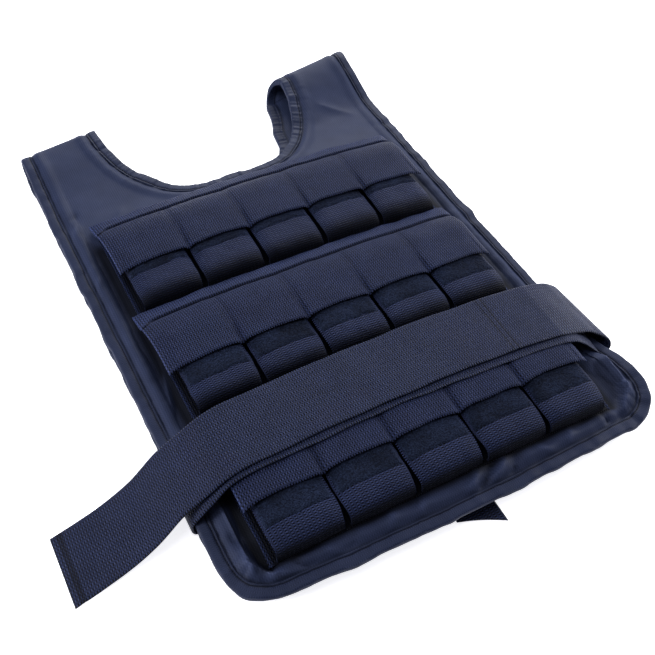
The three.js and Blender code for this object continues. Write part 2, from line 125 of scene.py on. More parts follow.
def run_along(line: np.ndarray) -> np.ndarray:
    """Distance along a line of points, from its first one."""
    return np.concatenate([[0.0], np.cumsum(np.linalg.norm(np.diff(line, axis=0), axis=1))])


def at_runs(wanted: np.ndarray, run: np.ndarray, line: np.ndarray) -> np.ndarray:
    """Points of a line in space at the wanted distances along it."""
    return np.stack([np.interp(wanted, run, line[:, k]) for k in range(3)], 1)


def unit(vectors: np.ndarray) -> np.ndarray:
    """Rows of vectors, each made one long."""
    return vectors / np.linalg.norm(vectors, axis=1, keepdims=True)


def grid_normals(points: np.ndarray) -> np.ndarray:
    """Unit normals of a grid of points.

    Args:
        points: rows by columns by 3.

    Returns:
        One vector for each point.
    """
    along = np.gradient(points, axis=0)
    across = np.gradient(points, axis=1)
    normal = np.cross(across, along)
    return normal / np.maximum(np.linalg.norm(normal, axis=-1, keepdims=True), 1e-9)


@dataclass
class ClothWall:
    """A closed wall of cloth between two grids of points in millimetres.

    Args:
        name: name of the piece.
        top: grid of the outer face, rows by columns by 3.
        bottom: grid of the inner face.
        cut: grid of places in the flat cloth, rows by columns by 2, for the weave.
        painted_shading: painted shade at each point, 1 at its darkest, down to -1 for a painted
            highlight.
        ringed: whether the last row meets the first.
        sharp: angle in degrees over which an edge stays sharp.
    """

    name: str
    top: np.ndarray
    bottom: np.ndarray
    cut: np.ndarray
    painted_shading: np.ndarray | None = None
    ringed: bool = False
    sharp: float = 50.0

    def faces(self) -> np.ndarray:
        """Joins the two faces and their rims.

        Returns:
            Corner numbers of all the quads.
        """
        rows, columns = self.top.shape[:2]
        if self.ringed:
            number = np.arange(rows + 1) % rows
        else:
            number = np.arange(rows)
        at = number[:, None] * columns + np.arange(columns)[None, :]
        under = at + rows * columns
        a, b, c, d = at[:-1, :-1], at[:-1, 1:], at[1:, 1:], at[1:, :-1]
        quads = [np.stack([a, b, c, d], -1).reshape(-1, 4)]
        a, b, c, d = under[:-1, :-1], under[1:, :-1], under[1:, 1:], under[:-1, 1:]
        quads.append(np.stack([a, b, c, d], -1).reshape(-1, 4))
        quads.append(np.stack([at[:-1, 0], at[1:, 0], under[1:, 0], under[:-1, 0]], -1))
        quads.append(np.stack([at[1:, -1], at[:-1, -1], under[:-1, -1], under[1:, -1]], -1))
        if not self.ringed:
            quads.append(np.stack([at[0, 1:], at[0, :-1], under[0, :-1], under[0, 1:]], -1))
            quads.append(np.stack([at[-1, :-1], at[-1, 1:], under[-1, 1:], under[-1, :-1]], -1))
        return np.concatenate(quads)

    def build(self) -> bpy.types.Object:
        """Makes the mesh, with its weave map and its attribute of painted shade and highlight.

        Returns:
            The object, at the origin, its faces pointing outwards.
        """
        points = np.concatenate([self.top.reshape(-1, 3), self.bottom.reshape(-1, 3)]) * MM
        quads = self.faces()
        corner = points[quads]
        middle = corner.mean(1)
        normal = np.cross(corner[:, 2] - corner[:, 0], corner[:, 3] - corner[:, 1])
        if float((middle * normal).sum()) < 0.0:
            quads = quads[:, ::-1]
        mesh = bpy.data.meshes.new(self.name)
        mesh.vertices.add(len(points))
        mesh.vertices.foreach_set("co", points.ravel())
        mesh.loops.add(quads.size)
        mesh.loops.foreach_set("vertex_index", quads.ravel().astype(np.int32))
        mesh.polygons.add(len(quads))
        mesh.polygons.foreach_set("loop_start", np.arange(0, quads.size, 4, dtype=np.int32))
        mesh.update(calc_edges=True)
        flat = self.cut.reshape(-1, 2) * MM
        weave = mesh.uv_layers.new(name="Weave")
        weave.data.foreach_set("uv", np.concatenate([flat, flat])[quads.ravel()].ravel())
        # Painted shade and painted highlight go into this point attribute, for the material's
        # colour.
        seam = mesh.attributes.new("PaintedShading", "FLOAT", "POINT")
        shading_values = np.zeros(self.top.shape[:2]) if self.painted_shading is None else self.painted_shading
        seam.data.foreach_set("value", np.tile(shading_values.ravel(), 2).astype(np.float32))
        mesh.validate()
        piece = bpy.data.objects.new(self.name, mesh)
        bpy.context.collection.objects.link(piece)
        shade(piece, self.sharp)
        return piece

    def spread(self) -> tuple[float, float]:
        """Measures the cloth along its own middle.

        Returns:
            Mean flat width and length, in metres.
        """
        middle = (self.top + self.bottom) / 2.0
        if self.ringed:
            middle = np.concatenate([middle, middle[:1]])
        along = np.linalg.norm(np.diff(middle, axis=0), axis=-1).sum(0).mean()
        across = np.linalg.norm(np.diff(middle, axis=1), axis=-1).sum(1).mean()
        return float(across) * MM, float(along) * MM


def shade(piece: bpy.types.Object, degrees: float) -> None:
    """Smooths a piece's faces, except over sharp edges.

    Args:
        piece: the object.
        degrees: the angle over which an edge stays sharp.
    """
    bpy.ops.object.select_all(action="DESELECT")
    bpy.context.view_layer.objects.active = piece
    piece.select_set(True)
    bpy.ops.object.shade_smooth_by_angle(angle=math.radians(degrees))
    piece.select_set(False)


# Finishes


@dataclass
class NodeBench:
    """Lays shader nodes in a material, one after another."""

    material: bpy.types.Material

    def add(self, kind: str, **settings: object) -> bpy.types.Node:
        """Adds a node.

        Args:
            kind: type of the node.
            settings: its properties by name.

        Returns:
            The new node.
        """
        node = self.material.node_tree.nodes.new(kind)
        for key, value in settings.items():
            setattr(node, key, value)
        return node

    def join(self, source: bpy.types.NodeSocket, target: bpy.types.NodeSocket) -> None:
        """Links two sockets."""
        self.material.node_tree.links.new(source, target)

    def put(self, socket: bpy.types.NodeSocket, value: object) -> None:
        """Links a socket, or sets its value.

        Args:
            socket: an input.
            value: an output to link, or a plain value.
        """
        if isinstance(value, bpy.types.NodeSocket):
            self.join(value, socket)
        else:
            socket.default_value = value

    def sum(self, kind: str, first: object, second: object = 0.0) -> bpy.types.NodeSocket:
        """Works two numbers out in a Math node.

        Args:
            kind: the operation.
            first, second: sockets or numbers.

        Returns:
            The node's output.
        """
        node = self.add("ShaderNodeMath", operation=kind)
        self.put(node.inputs[0], first)
        self.put(node.inputs[1], second)
        return node.outputs[0]

    def noise(self, scale: float, detail: float, place: object) -> bpy.types.NodeSocket:
        """Lays a noise.

        Args:
            scale: waves in a metre.
            detail: how many finer layers it has.
            place: the socket that it reads its place from.

        Returns:
            Its value, about 0.3 to 0.7.
        """
        node = self.add("ShaderNodeTexNoise")
        self.put(node.inputs["Vector"], place)
        node.inputs["Scale"].default_value = scale
        node.inputs["Detail"].default_value = detail
        return node.outputs["Fac"]

    def spread(
        self, value: object, low: float, high: float, to_low: float, to_high: float
    ) -> object:
        """Maps one range to another, clamped.

        Args:
            value: the socket to map.
            low, high: ends of its range.
            to_low, to_high: what they become.

        Returns:
            The mapped value.
        """
        node = self.add("ShaderNodeMapRange")
        self.put(node.inputs["Value"], value)
        limits = {"From Min": low, "From Max": high, "To Min": to_low, "To Max": to_high}
        for name, number in limits.items():
            node.inputs[name].default_value = number
        return node.outputs["Result"]

    def blend(self, share: object, first: object, second: object, kind: str = "MIX") -> object:
        """Mixes two colours.

        Args:
            share: share of the second one.
            first, second: sockets or colours.
            kind: how they mix.

        Returns:
            The mixed colour.
        """
        node = self.add("ShaderNodeMix", data_type="RGBA", blend_type=kind)
        self.put(node.inputs["Factor"], share)
        colours = [s for s in node.inputs if s.type == "RGBA"]
        self.put(colours[0], first)
        self.put(colours[1], second)
        return [s for s in node.outputs if s.type == "RGBA"][0]


@dataclass(frozen=True)
class ClothFinish:
    """A woven cloth: two sets of yarns, painted shade and highlight, blotches and sheen.

    Args:
        name: name of the material.
        colour: linear colour of the raised yarn.
        depth: share of the colour that is left in the valleys.
        pitch: distance between yarns along and across, in millimetres.
        relief: height of the weave in millimetres.
        roughness: roughness of the yarn.
        sheen: weight of the soft edge light.
        blotch: how much the colour varies over the cloth.
        fuzz: height of the loose pile in millimetres.
        seam: share of the colour left where the painted shade is deepest.
        ribbed: how far the weave runs in ribs, against a checker of yarns.
        specular: specular level.
    """

    name: str
    colour: tuple[float, float, float]
    depth: float
    pitch: tuple[float, float]
    relief: float
    roughness: float
    sheen: float
    blotch: float = 0.12
    fuzz: float = 0.0
    seam: float = 0.28
    ribbed: float = 0.4
    specular: float = 0.2

    def material(self) -> bpy.types.Material:
        """Builds the node material.

        Returns:
            The material. Its weave follows the flat cloth, its blotches and pile the place.
        """
        made = bpy.data.materials.new(self.name)
        made.use_nodes = True
        bench = NodeBench(made)
        shader = made.node_tree.nodes["Principled BSDF"]
        place = bench.add("ShaderNodeUVMap", uv_map="Weave").outputs["UV"]
        solid = bench.add("ShaderNodeTexCoord").outputs["Object"]
        split = bench.add("ShaderNodeSeparateXYZ")
        bench.join(place, split.inputs[0])
        drift = bench.spread(bench.noise(55.0, 1.0, solid), 0.3, 0.7, -0.00012, 0.00012)
        along = bench.sum("ADD", split.outputs["X"], drift)
        across = bench.sum("ADD", split.outputs["Y"], drift)
        paces = 2.0 * math.pi / (self.pitch[0] * MM), math.pi / (self.pitch[1] * MM)
        ribs = bench.sum("COSINE", bench.sum("MULTIPLY", along, paces[0]))
        picks = bench.sum("COSINE", bench.sum("MULTIPLY", across, paces[1]))
        checks = bench.sum("MULTIPLY", bench.sum("MULTIPLY", ribs, picks), 1.0 - self.ribbed)
        weave = bench.sum("ADD", bench.sum("MULTIPLY", ribs, self.ribbed), checks)
        weave = bench.spread(weave, -1.0, 1.0, 0.0, 1.0)
        yarn = bench.noise(1100.0, 3.0, solid)
        cloud = bench.noise(38.0, 4.0, solid)
        raised = bench.sum("ADD", weave, bench.spread(yarn, 0.3, 0.7, -0.18, 0.18))
        shade_share = bench.spread(raised, 0.0, 1.0, self.depth, 1.0)
        cloud_share = bench.spread(cloud, 0.3, 0.7, 1.0 - self.blotch, 1.0 + self.blotch)
        # Painted shade and painted highlight from the point attribute scale the colour.
        painted_shading = bench.add("ShaderNodeAttribute", attribute_name="PaintedShading").outputs["Fac"]
        painted_shade_share = bench.spread(painted_shading, -1.0, 1.0, 2.0 - self.seam, self.seam)
        share = bench.sum("MULTIPLY", bench.sum("MULTIPLY", shade_share, cloud_share), painted_shade_share)
        if self.fuzz > 0.0:
            pile = bench.noise(760.0, 4.0, solid)
            share = bench.sum("MULTIPLY", share, bench.spread(pile, 0.36, 0.64, 0.45, 1.6))
        colour = bench.add("ShaderNodeVectorMath", operation="SCALE")
        colour.inputs[0].default_value = self.colour
        bench.join(share, colour.inputs["Scale"])
        bench.join(colour.outputs[0], shader.inputs["Base Color"])
        rough = bench.spread(raised, 0.0, 1.0, min(1.0, self.roughness + 0.12), self.roughness)
        bench.join(rough, shader.inputs["Roughness"])
        shader.inputs["Sheen Weight"].default_value = self.sheen
        shader.inputs["Sheen Roughness"].default_value = 0.32
        shader.inputs["Sheen Tint"].default_value = (0.55, 0.60, 0.90, 1.0)
        shader.inputs["Specular IOR Level"].default_value = self.specular
        height = bench.sum("MULTIPLY", raised, self.relief * MM)
        if self.fuzz > 0.0:
            height = bench.sum("ADD", height, bench.sum("MULTIPLY", pile, self.fuzz * MM))
        bump = bench.add("ShaderNodeBump")
        bump.inputs["Distance"].default_value = 1.0
        bump.inputs["Strength"].default_value = 1.0
        bench.join(height, bump.inputs["Height"])
        bench.join(bump.outputs["Normal"], shader.inputs["Normal"])
        return made


WEBBING = ClothFinish(
    name="ribbed_webbing", colour=(0.025, 0.036, 0.100), depth=-0.3, pitch=(2.4, 1.9),
    relief=0.56, roughness=0.48, sheen=0.05, seam=0.12, specular=0.045,
)
BELTING = ClothFinish(
    name="belt_webbing", colour=(0.027, 0.038, 0.102), depth=-0.3, pitch=(2.4, 2.0),
    relief=0.56, roughness=0.44, sheen=0.14, seam=0.2, specular=0.07,
)
NYLON = ClothFinish(
    name="panel_nylon", colour=(0.023, 0.031, 0.070), depth=0.60, pitch=(2.2, 1.5),
    relief=0.07, roughness=0.50, sheen=0.05, blotch=0.10, seam=0.14, specular=0.06,
)
TAPE = ClothFinish(
    name="binding_tape", colour=(0.019, 0.026, 0.061), depth=0.50, pitch=(1.9, 1.7),
    relief=0.14, roughness=0.48, sheen=0.06, specular=0.08,
)
PILE = ClothFinish(
    name="loop_pile", colour=(0.008, 0.012, 0.028), depth=0.55, pitch=(1.1, 0.9),
    relief=0.14, roughness=0.90, sheen=0.05, blotch=0.4, fuzz=1.2, specular=0.05,
)
PACK = ClothFinish(
    name="pack_cover", colour=(0.004, 0.004, 0.008), depth=0.70, pitch=(1.2, 1.2),
    relief=0.05, roughness=0.80, sheen=0.0, specular=0.03,
)
THREAD = ClothFinish(
    name="sewing_thread", colour=(0.005, 0.007, 0.017), depth=0.70, pitch=(0.5, 0.5),
    relief=0.02, roughness=0.70, sheen=0.0, specular=0.04,
)


@dataclass
class Wardrobe:
    """Keeps one material of each finish, and dresses pieces in them."""

    made: dict[str, bpy.types.Material] = field(default_factory=dict)

    def dress(self, piece: bpy.types.Object, finish: ClothFinish, slot: Slot, *nodes: str) -> None:
        """Gives a piece its material and body, and hides the solids that it replaces.

        Args:
            piece: the finished object.
            finish: what it is made of.
            slot: the record's slot; not used.
            nodes: names of the solids that it replaces.
        """
        if finish.name not in self.made:
            self.made[finish.name] = finish.material()
        piece.data.materials.clear()
        piece.data.materials.append(self.made[finish.name])
        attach(piece, BODY)
        if nodes:
            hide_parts(*nodes)
        LOG.info("%s: %d faces", piece.name, len(piece.data.polygons))

    def lay(
        self, wall: ClothWall, finish: ClothFinish, slot: Slot, node: str, hold: Hold, *under: str
    ) -> None:
        """Makes a sheet of cloth and dresses it.

        Args:
            wall: the sheet's two faces.
            finish: what it is made of.
            slot: the record's slot.
            node: name of the solid that it replaces.
            hold: how the sheet is held; not used.
            under: names of the solids that it rests on; not used.
        """
        piece = wall.build()
        self.dress(piece, finish, slot, node)
        wall.spread()

    def stuff(
        self, wall: ClothWall, finish: ClothFinish, slot: Slot, node: str, fill: float
    ) -> None:
        """Makes a padded piece and dresses it.

        Args:
            wall: the piece's outer and inner faces.
            finish: what it is made of.
            slot: the record's slot.
            node: name of the solid that it replaces.
            fill: how much of it is filled, 0 to 1; not used.
        """
        piece = wall.build()
        self.dress(piece, finish, slot, node)


@dataclass
class StitchRun:
    """A row of thread stitches along a line.

    Args:
        name: name of the piece.
        pitch: distance from stitch to stitch in millimetres.
        length: length of the thread that shows.
        radius: half thickness of the thread.
        shares: places of a stitch's rings, as shares of its length.
        lifts: height of each ring's middle over the cloth, in radii.
        widths: radius of each ring, in radii.
        sides: number of points in a ring.
    """

    name: str
    pitch: float = 3.4
    length: float = 2.5
    radius: float = 0.42
    shares: tuple[float, ...] = (0.0, 0.15, 0.5, 0.85, 1.0)
    lifts: tuple[float, ...] = (-0.9, -0.1, 0.35, -0.1, -0.9)
    widths: tuple[float, ...] = (0.35, 0.9, 1.0, 0.9, 0.35)
    sides: int = 5
    parts: list[np.ndarray] = field(default_factory=list)

    def sew(self, line: np.ndarray, normal: np.ndarray) -> None:
        """Adds stitches along a line of points, a little sunk into the cloth.

        Args:
            line: points in millimetres.
            normal: the cloth's normal at each of them.
        """
        run = run_along(line)
        lift = np.array(self.lifts) * self.radius
        wide = np.array(self.widths) * self.radius
        angle = np.arange(self.sides) * math.pi / (self.sides / 2.0)
        for number in range(int(run[-1] // self.pitch)):
            start = (number + 0.5) * self.pitch - self.length / 2.0
            at = start + np.array(self.shares) * self.length
            up = unit(at_runs(at, run, normal))
            middle = at_runs(at, run, line) + up * lift[:, None]
            side = np.cross(unit(np.gradient(middle, axis=0)), up)
            ring = (
                middle[:, None]
                + side[:, None] * (np.cos(angle)[None, :, None] * wide[:, None, None])
                + up[:, None] * (np.sin(angle)[None, :, None] * wide[:, None, None])
            )
            self.parts.append(ring)

    def build(self) -> bpy.types.Object:
        """Makes one object of all the stitches.

        Returns:
            The object, at the origin.
        """
        rings = np.stack(self.parts)
        count, sections, sides = rings.shape[:3]
        block = sections * sides
        base = (np.arange(count) * block)[:, None, None]
        row = np.arange(sections - 1)[None, :, None] * sides
        here = np.arange(sides)[None, None, :]
        after = (here + 1) % sides
        near, far = base + row, base + row + sides
        quads = np.stack([near + here, near + after, far + after, far + here], -1).reshape(-1, 4)
        first = (np.arange(count) * block)[:, None] + np.arange(sides)[None, ::-1]
        last = (np.arange(count) * block + block - sides)[:, None] + np.arange(sides)[None, :]
        faces = quads.tolist() + first.tolist() + last.tolist()
        mesh = bpy.data.meshes.new(self.name)
        mesh.from_pydata((rings.reshape(-1, 3) * MM).tolist(), [], faces)
        flat = np.zeros((len(mesh.loops), 2))
        mesh.uv_layers.new(name="Weave").data.foreach_set("uv", flat.ravel())
        mesh.attributes.new("PaintedShading", "FLOAT", "POINT")
        mesh.update()
        corner = rings[0]
        inward = np.cross(corner[2, 1] - corner[2, 0], corner[3, 0] - corner[2, 0])
        if float(np.dot(inward, corner[2, 0] - corner[2].mean(0))) < 0.0:
            mesh.flip_normals()
        piece = bpy.data.objects.new(self.name, mesh)
        bpy.context.collection.objects.link(piece)
        shade(piece, 60.0)
        return piece


# The pattern of the vest


@dataclass(frozen=True)
class Shoulder:
    """Where a strap folds over, how far that shifts outwards, and how round the fold is."""

    neck_fold_y: float
    outer_shift: float
    fold_radius: float
    back_neck_inset: float


@dataclass
class VestPattern:
    """The sizes of the vest in millimetres, and the heights of its two panels."""

    half_width: float = 204.0
    hem_y: float = -124.0
    hem_bulge: float = 9.0
    hem_flare: float = 14.0
    hem_flare_low: float = -75.0
    hem_flare_high: float = 8.0
    corner_radius: float = 42.0
    neck_centre_x: float = -3.0
    neck_half_width: float = 114.0
    neck_bottom_y: float = 333.0
    back_neck_bottom_y: float = 341.0
    back_hem_inset: float = 8.0
    left: Shoulder = Shoulder(461.0, -15.0, 8.5, 2.0)
    right: Shoulder = Shoulder(446.0, 19.0, 13.5, 27.0)
    strap_rise_length: float = 80.0
    pad_thickness: float = 7.0
    bound_thickness: float = 3.4
    binding_tape: float = 1.2
    binding_width: float = 11.0
    pad_taper: float = 12.0
    gap: float = 0.3
    seam_gap: float = 0.9
    floor_gap: float = 0.3
    crown_height: float = 9.5
    crown_power: float = 3.0
    hem_crown_share: float = 0.8
    hem_crown_length: float = 28.0
    neck_crown_share: float = 0.5
    neck_crown_length: float = 48.0
    rim_curl: float = 6.0
    rim_curl_y: float = -92.0
    rim_curl_length: float = 60.0
    pocket_top_y: float = 301.0
    belt_width: float = 66.0
    belt_webbing: float = 2.2
    belt_lift_reach: float = 165.0

    @property
    def binding_thickness(self) -> float:
        """Thickness of the bound edge over both faces of the tape."""
        return self.bound_thickness + 2.0 * self.gap + 2.0 * self.binding_tape

    def shoulder(self, x: np.ndarray, size: str) -> np.ndarray:
        """A size of the shoulder that belongs to each x."""
        return np.where(x < self.neck_centre_x, getattr(self.left, size), getattr(self.right, size))

    def back_height(self, y: np.ndarray) -> np.ndarray:
        """Height of the back panel's middle.

        Args:
            y: places on the pattern.

        Returns:
            Heights over the floor, raised where the belt runs under.
        """
        edge = self.belt_width / 2.0
        beside = smooth(edge, edge + self.belt_lift_reach, np.abs(y))
        lift = (self.belt_webbing + self.gap) * (1.0 - beside)
        return self.pad_thickness / 2.0 + self.floor_gap + lift

    def fold_y(self, x: np.ndarray) -> np.ndarray:
        """Where a strap starts to fold over.

        Args:
            x: places across the vest.

        Returns:
            Y of the fold at each of them.
        """
        across = (np.abs(x - self.neck_centre_x) - self.neck_half_width) / (
            self.half_width - self.neck_half_width
        )
        return self.shoulder(x, "neck_fold_y") + self.shoulder(x, "outer_shift") * across

    def front_height(self, x: np.ndarray, y: np.ndarray) -> np.ndarray:
        """Height of the front panel's middle.

        Args:
            x, y: places on the pattern.

        Returns:
            Heights over the floor, with a crown under the rows, a rise to the folds and a
            curl at the right rim.
        """
        across = 1.0 - np.minimum(1.0, np.abs(x / self.half_width)) ** self.crown_power
        from_hem = smooth(self.hem_y, self.hem_y + self.hem_crown_length, y)
        near_hem = mix(self.hem_crown_share, 1.0, from_hem)
        top = self.pocket_top_y
        near_neck = mix(1.0, self.neck_crown_share, smooth(top, top + self.neck_crown_length, y))
        fold = self.fold_y(x)
        edge = self.back_height(y) + self.binding_thickness + self.gap
        crest = self.back_height(fold) + 2.0 * self.shoulder(x, "fold_radius")
        crown = edge + self.crown_height * across * near_hem * near_neck
        rise = smooth(0.0, 1.0, (y - fold + self.strap_rise_length) / self.strap_rise_length)
        rim = self.binding_width + self.pad_taper
        into_rim = np.maximum(0.0, 1.0 - (self.half_width - x) / rim)
        into_rim = into_rim**2 / (into_rim + 0.15)
        curl = self.rim_curl * into_rim * (
            1.0 - smooth(self.rim_curl_y, self.rim_curl_y + self.rim_curl_length, y)
        )
        return mix(crown, crest, rise) + curl

    def surface(self, x: np.ndarray, y: np.ndarray, turn: np.ndarray) -> np.ndarray:
        """Points of the cloth's middle.

        Args:
            x, y: places on the pattern.
            turn: 0 on the front, pi on the back, between them in the fold.

        Returns:
            A point for each place.
        """
        radius = self.shoulder(x, "fold_radius")
        fold = self.fold_y(x)
        flat_z = np.where(turn == 0.0, self.front_height(x, y), self.back_height(y))
        bent_z = self.back_height(fold) + radius * (1.0 + np.cos(turn))
        bent = (turn > 0.0) & (turn < math.pi)
        bent_y = fold + radius * np.sin(turn)
        return np.stack([x, np.where(bent, bent_y, y), np.where(bent, bent_z, flat_z)], -1)

    def outward(self, x: np.ndarray, y: np.ndarray, turn: np.ndarray) -> np.ndarray:
        """The cloth's outward normals.

        Args:
            x, y: places on the pattern.
            turn: 0 on the front, pi on the back.

        Returns:
            Unit vectors, up on the front and down on the back.
        """
        step = 0.5
        slope_x = (self.front_height(x + step, y) - self.front_height(x - step, y)) / (2.0 * step)
        slope_y = (self.front_height(x, y + step) - self.front_height(x, y - step)) / (2.0 * step)
        size = np.sqrt(slope_x**2 + slope_y**2 + 1.0)
        front = np.stack([-slope_x / size, -slope_y / size, 1.0 / size], -1)
        bent = np.stack([np.zeros_like(x), np.sin(turn), np.cos(turn)], -1)
        return np.where((turn == 0.0)[..., None], front, bent)

    def hem_level(self, x: np.ndarray, hem: float) -> np.ndarray:
        """Y of the hem at each x."""
        return hem - self.hem_bulge * (1.0 - (x / self.half_width) ** 2)

    def flared(self, x: np.ndarray, y: np.ndarray) -> np.ndarray:
        """Moves the outline out below the belt, on the right.

        Args:
            x, y: places on the outline.

        Returns:
            The new x of each place.
        """
        below_belt = 1.0 - smooth(self.hem_flare_low, self.hem_flare_high, y)
        return x + self.hem_flare * smooth(0.0, self.half_width, x) * below_belt


NECK_ACROSS = np.array([0.0, 0.31, 0.53, 0.71, 0.83, 0.92, 0.975, 1.0])
NECK_UP = np.array([0.0, 0.005, 0.07, 0.23, 0.4, 0.6, 0.8, 1.0])
SIDE_SHARES = np.array([0.0, 0.05, 0.1, 0.2, 0.33, 0.48, 0.63, 0.75, 0.84, 0.92, 1.0])
NECK_SHARES = np.array(
    [0, 0.09, 0.17, 0.24, 0.3, 0.36, 0.41, 0.45, 0.5]
    + [0.54, 0.59, 0.65, 0.71, 0.77, 0.83, 0.89, 0.945, 1]
)


def smooth_line(points: np.ndarray, samples: int) -> np.ndarray:
    """A uniform Catmull-Rom line through points.

    Args:
        points: the points that it passes.
        samples: how many places are read off.

    Returns:
        Places on the line, evenly spaced by its parameter.
    """
    padded = np.concatenate([points[:1], points, points[-1:]])
    at = np.linspace(0.0, len(points) - 1.0, samples)
    piece = np.minimum(at.astype(int), len(points) - 2)
    share = (at - piece)[:, None]
    a, b, c, d = (padded[piece + k] for k in range(4))
    slope_in, slope_out = (c - a) / 2.0, (d - b) / 2.0
    return (
        (2.0 * b - 2.0 * c + slope_in + slope_out) * share**3
        + (-3.0 * b + 3.0 * c - 2.0 * slope_in - slope_out) * share**2
        + slope_in * share
        + b
    )


@dataclass
class Leaf:
    """The sewing stations of one leaf of cloth, from the left shoulder to the right one."""

    neck: np.ndarray
    outer: np.ndarray
    neck_turn: np.ndarray
    neck_in: np.ndarray
    outer_in: np.ndarray


@dataclass
class LeafCutter:
    """Cuts a leaf of the pattern into stations."""

    pattern: VestPattern
    hem_count: int = 48
    corner_count: int = 26
    side_count: int = 134
    fold_count: int = 12

    def neck_edge(
        self, side: int, share: np.ndarray, turn: np.ndarray, bottom: float
    ) -> np.ndarray:
        """Places on the neck edge.

        Args:
            side: -1 for the left one, 1 for the right one.
            share: shares of the way from the middle up to the shoulder.
            turn: 0 on the front, pi on the back.
            bottom: y of the neck's lowest place.

        Returns:
            X and y of each place.
        """
        p = self.pattern
        shoulder = p.left if side < 0 else p.right
        line = smooth_line(np.stack([NECK_ACROSS, NECK_UP], 1), 600)
        run = run_along(line)
        across = np.interp(share * run[-1], run, line[:, 0])
        up = np.interp(share * run[-1], run, line[:, 1])
        pull = shoulder.back_neck_inset * smooth(0.0, 0.6, up) * (1.0 - up / 5.0) * turn / math.pi
        x = p.neck_centre_x + side * (across * p.neck_half_width - pull)
        return np.stack([x, mix(bottom, p.fold_y(x), up)], 1)

    def outer_edge(self, side: int, hem: float) -> tuple[np.ndarray, np.ndarray]:
        """Places on the outer edge, from the middle of the hem up.

        Args:
            side: -1 for the left one, 1 for the right one.
            hem: y of the hem's corners.

        Returns:
            The places, and the number of the sewing station that each belongs to.
        """
        p = self.pattern
        straight = p.half_width - p.corner_radius
        share = np.linspace(0.0, 1.0, self.hem_count, endpoint=False)
        x = side * share * straight
        station = np.interp(share, [0.0, 0.36, 0.7, 1.0], [0.0, 1.0, 2.0, 3.0])
        places = [np.stack([x, p.hem_level(x, hem)], 1)]
        numbers = [station]
        centre_y = float(p.hem_level(np.array(straight), hem)) + p.corner_radius
        angle = np.linspace(0.0, math.pi / 2.0, self.corner_count, endpoint=False)
        x = side * (straight + p.corner_radius * np.sin(angle))
        places.append(np.stack([x, centre_y - p.corner_radius * np.cos(angle)], 1))
        numbers.append(3.0 + angle / (math.pi / 8.0))
        share = np.linspace(0.0, 1.0, self.side_count)
        top_y = float(p.fold_y(np.array(side * p.half_width)))
        x = np.full_like(share, side * p.half_width)
        places.append(np.stack([x, mix(centre_y, top_y, share)], 1))
        numbers.append(7.0 + np.interp(share, SIDE_SHARES, np.arange(11)))
        edge = np.concatenate(places)
        edge[:, 0] = p.flared(edge[:, 0], edge[:, 1])
        return edge, np.concatenate(numbers)

    def side(self, side: int, back: bool) -> tuple[np.ndarray, np.ndarray, np.ndarray]:
        """One side of a leaf, from the middle of the hem up.

        Args:
            side: -1 for the left one, 1 for the right one.
            back: whether it is the back.

        Returns:
            Neck places, outer places and turns.
        """
        p = self.pattern
        hem = p.hem_y + (p.back_hem_inset if back else 0.0)
        bottom = p.back_neck_bottom_y if back else p.neck_bottom_y
        outer, number = self.outer_edge(side, hem)
        turn = np.full(len(outer), math.pi if back else 0.0)
        share = np.interp(number, np.arange(18), NECK_SHARES)
        soft = np.convolve(np.pad(share, 8, mode="edge"), np.ones(17) / 17.0, mode="valid")
        soft = mix(soft, share, smooth(0.93, 1.0, share) + (1.0 - smooth(0.0, 0.06, share)))
        neck = self.neck_edge(side, soft, turn, bottom)
        if back:
            return neck, outer, turn
        radius = (p.left if side < 0 else p.right).fold_radius
        bend = np.linspace(0.0, math.pi - p.seam_gap / radius, self.fold_count + 1)[1:]
        top = np.ones(self.fold_count)
        neck = np.concatenate([neck, self.neck_edge(side, top, bend, bottom)])
        outer = np.concatenate([outer, np.repeat(outer[-1:], self.fold_count, 0)])
        return neck, outer, np.concatenate([turn, bend])

    def inward(
        self, edge: np.ndarray, towards: np.ndarray, turn: np.ndarray, hand: float
    ) -> np.ndarray:
        """Unit vectors from an edge into the cloth.

        Args:
            edge: places along the edge, from the left shoulder to the right one.
            towards: places on the opposite edge.
            turn: which part of the cloth each place lies on.
            hand: 1 if the cloth lies to the left of the way along the edge, -1 if to the right.

        Returns:
            One vector for each place.
        """
        direct = unit(towards - edge)
        along = np.gradient(edge, axis=0)
        normal = hand * np.stack([-along[:, 1], along[:, 0]], 1)
        size = np.linalg.norm(normal, axis=1, keepdims=True)
        normal = np.where(size > 1e-6, normal / np.maximum(size, 1e-6), direct)
        flat = ((turn == 0.0) | (turn == math.pi)).astype(float)
        reach = 11
        span = 2 * reach + 1
        flat = np.convolve(np.pad(flat, reach, mode="constant"), np.ones(span) / span, "valid")
        share = smooth(0.55, 1.0, flat)[:, None]
        return unit(mix(direct, normal, share))

    def leaf(self, back: bool) -> Leaf:
        """All the stations of one leaf.

        Args:
            back: whether it is the back.

        Returns:
            The leaf, from the left shoulder to the right one.
        """
        left = [part[::-1] for part in self.side(-1, back)]
        right = [part[1:] for part in self.side(1, back)]
        neck, outer, turn = (np.concatenate(pair) for pair in zip(left, right))
        neck_in = self.inward(neck, outer, turn, -1.0)
        return Leaf(neck, outer, turn, neck_in, self.inward(outer, neck, turn, 1.0))


